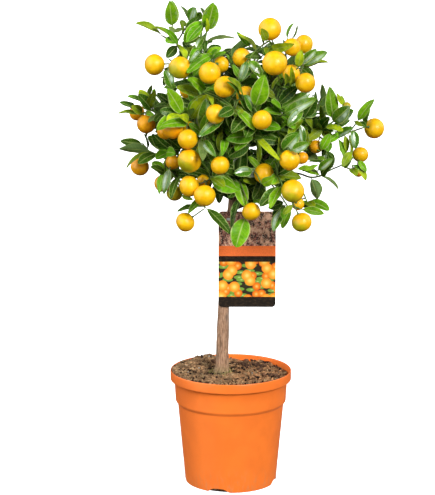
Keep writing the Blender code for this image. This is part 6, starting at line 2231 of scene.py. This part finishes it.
class CITRUS_OT_strap(bpy.types.Operator):
    """Make the strap that holds the tag to the trunk"""

    bl_idname = "citrus.strap"
    bl_label = "Tag strap"

    def execute(self, context):
        piece = Piece("strap_loop")
        piece.add(*strap_surface())
        finish = strap_finish(tuple(context.scene.citrus_tag.strap))
        piece.make(finish, "strap", "tag_strap", sharp=STRAP_SHARP_ANGLE)
        return {"FINISHED"}


class CITRUS_OT_fruits(bpy.types.Operator):
    """Make the fruits with their stalks"""

    bl_idname = "citrus.fruits"
    bl_label = "Fruits"

    def execute(self, context):
        settings = context.scene.citrus_fruit
        finish = peel_finish(settings.pores)
        stalks = Piece("fruit_stalks")
        seed = 0
        for number, (seat, start, cluster) in enumerate(grown_tree().clusters, 1):
            piece = Piece(f"peel_{number:02d}")
            if len(cluster) > 1:
                add_stem(stalks, [seat, start], [STALK_RADIUS * KNOT_THICKNESS] * 2, STALK_GRID, stalk_tint)
            for index, (centre, radius) in enumerate(cluster):
                seed += 1
                points, quads, tris = fruit_surface(centre, radius, start, seed, settings.dimple)
                tone = PEEL_TONES[number - 1][index]
                piece.add(points, quads, tris, tint=colours(peel_tint(points, centre, radius, tone, seed)))
                away = (start - centre).normalized()
                skin = centre + away * radius * FRUIT_FLATTENING * (1 - settings.dimple)
                if (start - skin).length > STALK_LEAST:
                    add_stem(stalks, [start, skin], [STALK_RADIUS] * 2, STALK_GRID, stalk_tint)
                points, quads, tris = calyx(centre, radius, start, settings.dimple)
                tint = stalk_tint(points, None, None) * np.array([0.85, 0.95, 0.8])
                stalks.add(points, quads, tris, tint=colours(tint))
            piece.make(finish, "fruit", f"fruit_{number:02d}")
        stalks.make(stem_finish(), "leaf")
        return {"FINISHED"}


class CITRUS_OT_shoots(bpy.types.Operator):
    """Make the leaves of the shoots, one piece for each shoot"""

    bl_idname = "citrus.shoots"
    bl_label = "Shoots"

    def execute(self, context):
        settings = context.scene.citrus_foliage
        grown_tree()
        finish = leaves_finish(settings)
        for number, shoot in enumerate(SHOOTS):
            name = "leaves_" + shoot.name.removeprefix("shoot_")
            make_leaves(name, shoot.placed, SHOOT_SHAPE_SEED + number, settings, finish, shoot.name)
        return {"FINISHED"}


class CITRUS_OT_side_leaves(bpy.types.Operator):
    """Make the leaves that stand on thin side twigs, and those twigs"""

    bl_idname = "citrus.side_leaves"
    bl_label = "Side leaves"

    def execute(self, context):
        settings = context.scene.citrus_foliage
        grown = side_leaves(grown_tree())
        leaves = [leaf for leaf, _ in grown]
        make_leaves("leaves_side", leaves, SIDE_SHAPE_SEED, settings, leaves_finish(settings))
        twigs = Piece("side_twigs")
        for _, twig in grown:
            if twig:
                add_stem(twigs, twig, SIDE_TWIG_RADII, SIDE_TWIG_GRID, twig_tint)
        twigs.make(stem_finish(), "bark")
        return {"FINISHED"}


class CITRUS_OT_filling(bpy.types.Operator):
    """Make the leaves that fill the inside and the back of the crown"""

    bl_idname = "citrus.filling"
    bl_label = "Inner leaves"

    def execute(self, context):
        settings = context.scene.citrus_foliage
        leaves = inner_leaves(grown_tree(), settings.fill)
        make_leaves("leaves_inner", leaves, INNER_SHAPE_SEED, settings, leaves_finish(settings))
        return {"FINISHED"}


class CITRUS_OT_stage(bpy.types.Operator):
    """Make the floor, the lights and the camera"""

    bl_idname = "citrus.stage"
    bl_label = "Stage"

    def execute(self, context):
        settings = context.scene.citrus_stage
        scene = context.scene
        mesh = bpy.data.meshes.new("sweep")
        corners = [(x * FLOOR_REACH, y * FLOOR_REACH, 0) for x, y in ((-1, -1), (1, -1), (1, 1), (-1, 1))]
        mesh.from_pydata(corners, [], [(0, 1, 2, 3)])
        finish = floor_finish(tuple(settings.floor))
        shader = finish.node_tree.nodes["Principled BSDF"]
        shader.inputs["Emission Color"].default_value = (1, 1, 1, 1)
        shader.inputs["Emission Strength"].default_value = settings.glow
        mesh.materials.append(finish)
        floor = linked("sweep", mesh)
        floor.visible_diffuse = False
        floor.visible_glossy = False
        for name, setting, height, turn, size in LAMPS:
            lamp = bpy.data.lights.new(name, "SUN")
            lamp.energy = getattr(settings, setting)
            lamp.angle = math.radians(size)
            thing = linked(name, lamp)
            thing.rotation_euler = (math.radians(90 - height), 0, math.radians(turn))
        world = bpy.data.worlds.new("studio")
        world.use_nodes = True
        world.node_tree.nodes["Background"].inputs["Strength"].default_value = settings.around
        scene.world = world
        camera = bpy.data.cameras.new("camera")
        camera.lens = settings.lens
        camera.sensor_width = SENSOR_WIDTH
        camera.clip_end = VIEW_REACH
        scene.camera = linked("camera", camera)
        scene.camera.location = settings.stand
        scene.camera.rotation_euler = (math.radians(90 - settings.pitch), 0, 0)
        scene.view_settings.view_transform = "Standard"
        return {"FINISHED"}


OPERATORS = (
    CITRUS_OT_pot, CITRUS_OT_soil, CITRUS_OT_wood, CITRUS_OT_tag, CITRUS_OT_strap, CITRUS_OT_fruits,
    CITRUS_OT_shoots, CITRUS_OT_side_leaves, CITRUS_OT_filling, CITRUS_OT_stage,
)


class CITRUS_PT_panel(bpy.types.Panel):
    """Lists the steps that make the tree, and their settings"""

    bl_idname = "CITRUS_PT_panel"
    bl_label = "Potted citrus tree"
    bl_space_type = "VIEW_3D"
    bl_region_type = "UI"
    bl_category = "Citrus"

    def draw(self, context):
        for operator in OPERATORS:
            self.layout.operator(operator.bl_idname)
        for name, group in SETTINGS.items():
            box = self.layout.box()
            settings = getattr(context.scene, name)
            for prop in group.__annotations__:
                box.prop(settings, prop)


def register():
    """Registers the settings, the steps and the panel."""
    for name, group in SETTINGS.items():
        bpy.utils.register_class(group)
        setattr(bpy.types.Scene, name, PointerProperty(type=group))
    for cls in (*OPERATORS, CITRUS_PT_panel):
        bpy.utils.register_class(cls)


def unregister():
    """Undoes what register does, in the opposite order."""
    for cls in (CITRUS_PT_panel, *reversed(OPERATORS)):
        bpy.utils.unregister_class(cls)
    for name, group in reversed(SETTINGS.items()):
        delattr(bpy.types.Scene, name)
        bpy.utils.unregister_class(group)


def main():
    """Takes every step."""
    register()
    bpy.ops.citrus.pot()
    bpy.ops.citrus.soil()
    bpy.ops.citrus.wood()
    bpy.ops.citrus.tag()
    bpy.ops.citrus.strap()
    bpy.ops.citrus.fruits()
    bpy.ops.citrus.shoots()
    bpy.ops.citrus.side_leaves()
    bpy.ops.citrus.filling()
    bpy.ops.citrus.stage()
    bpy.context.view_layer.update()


if __name__ == "__main__":
    main()
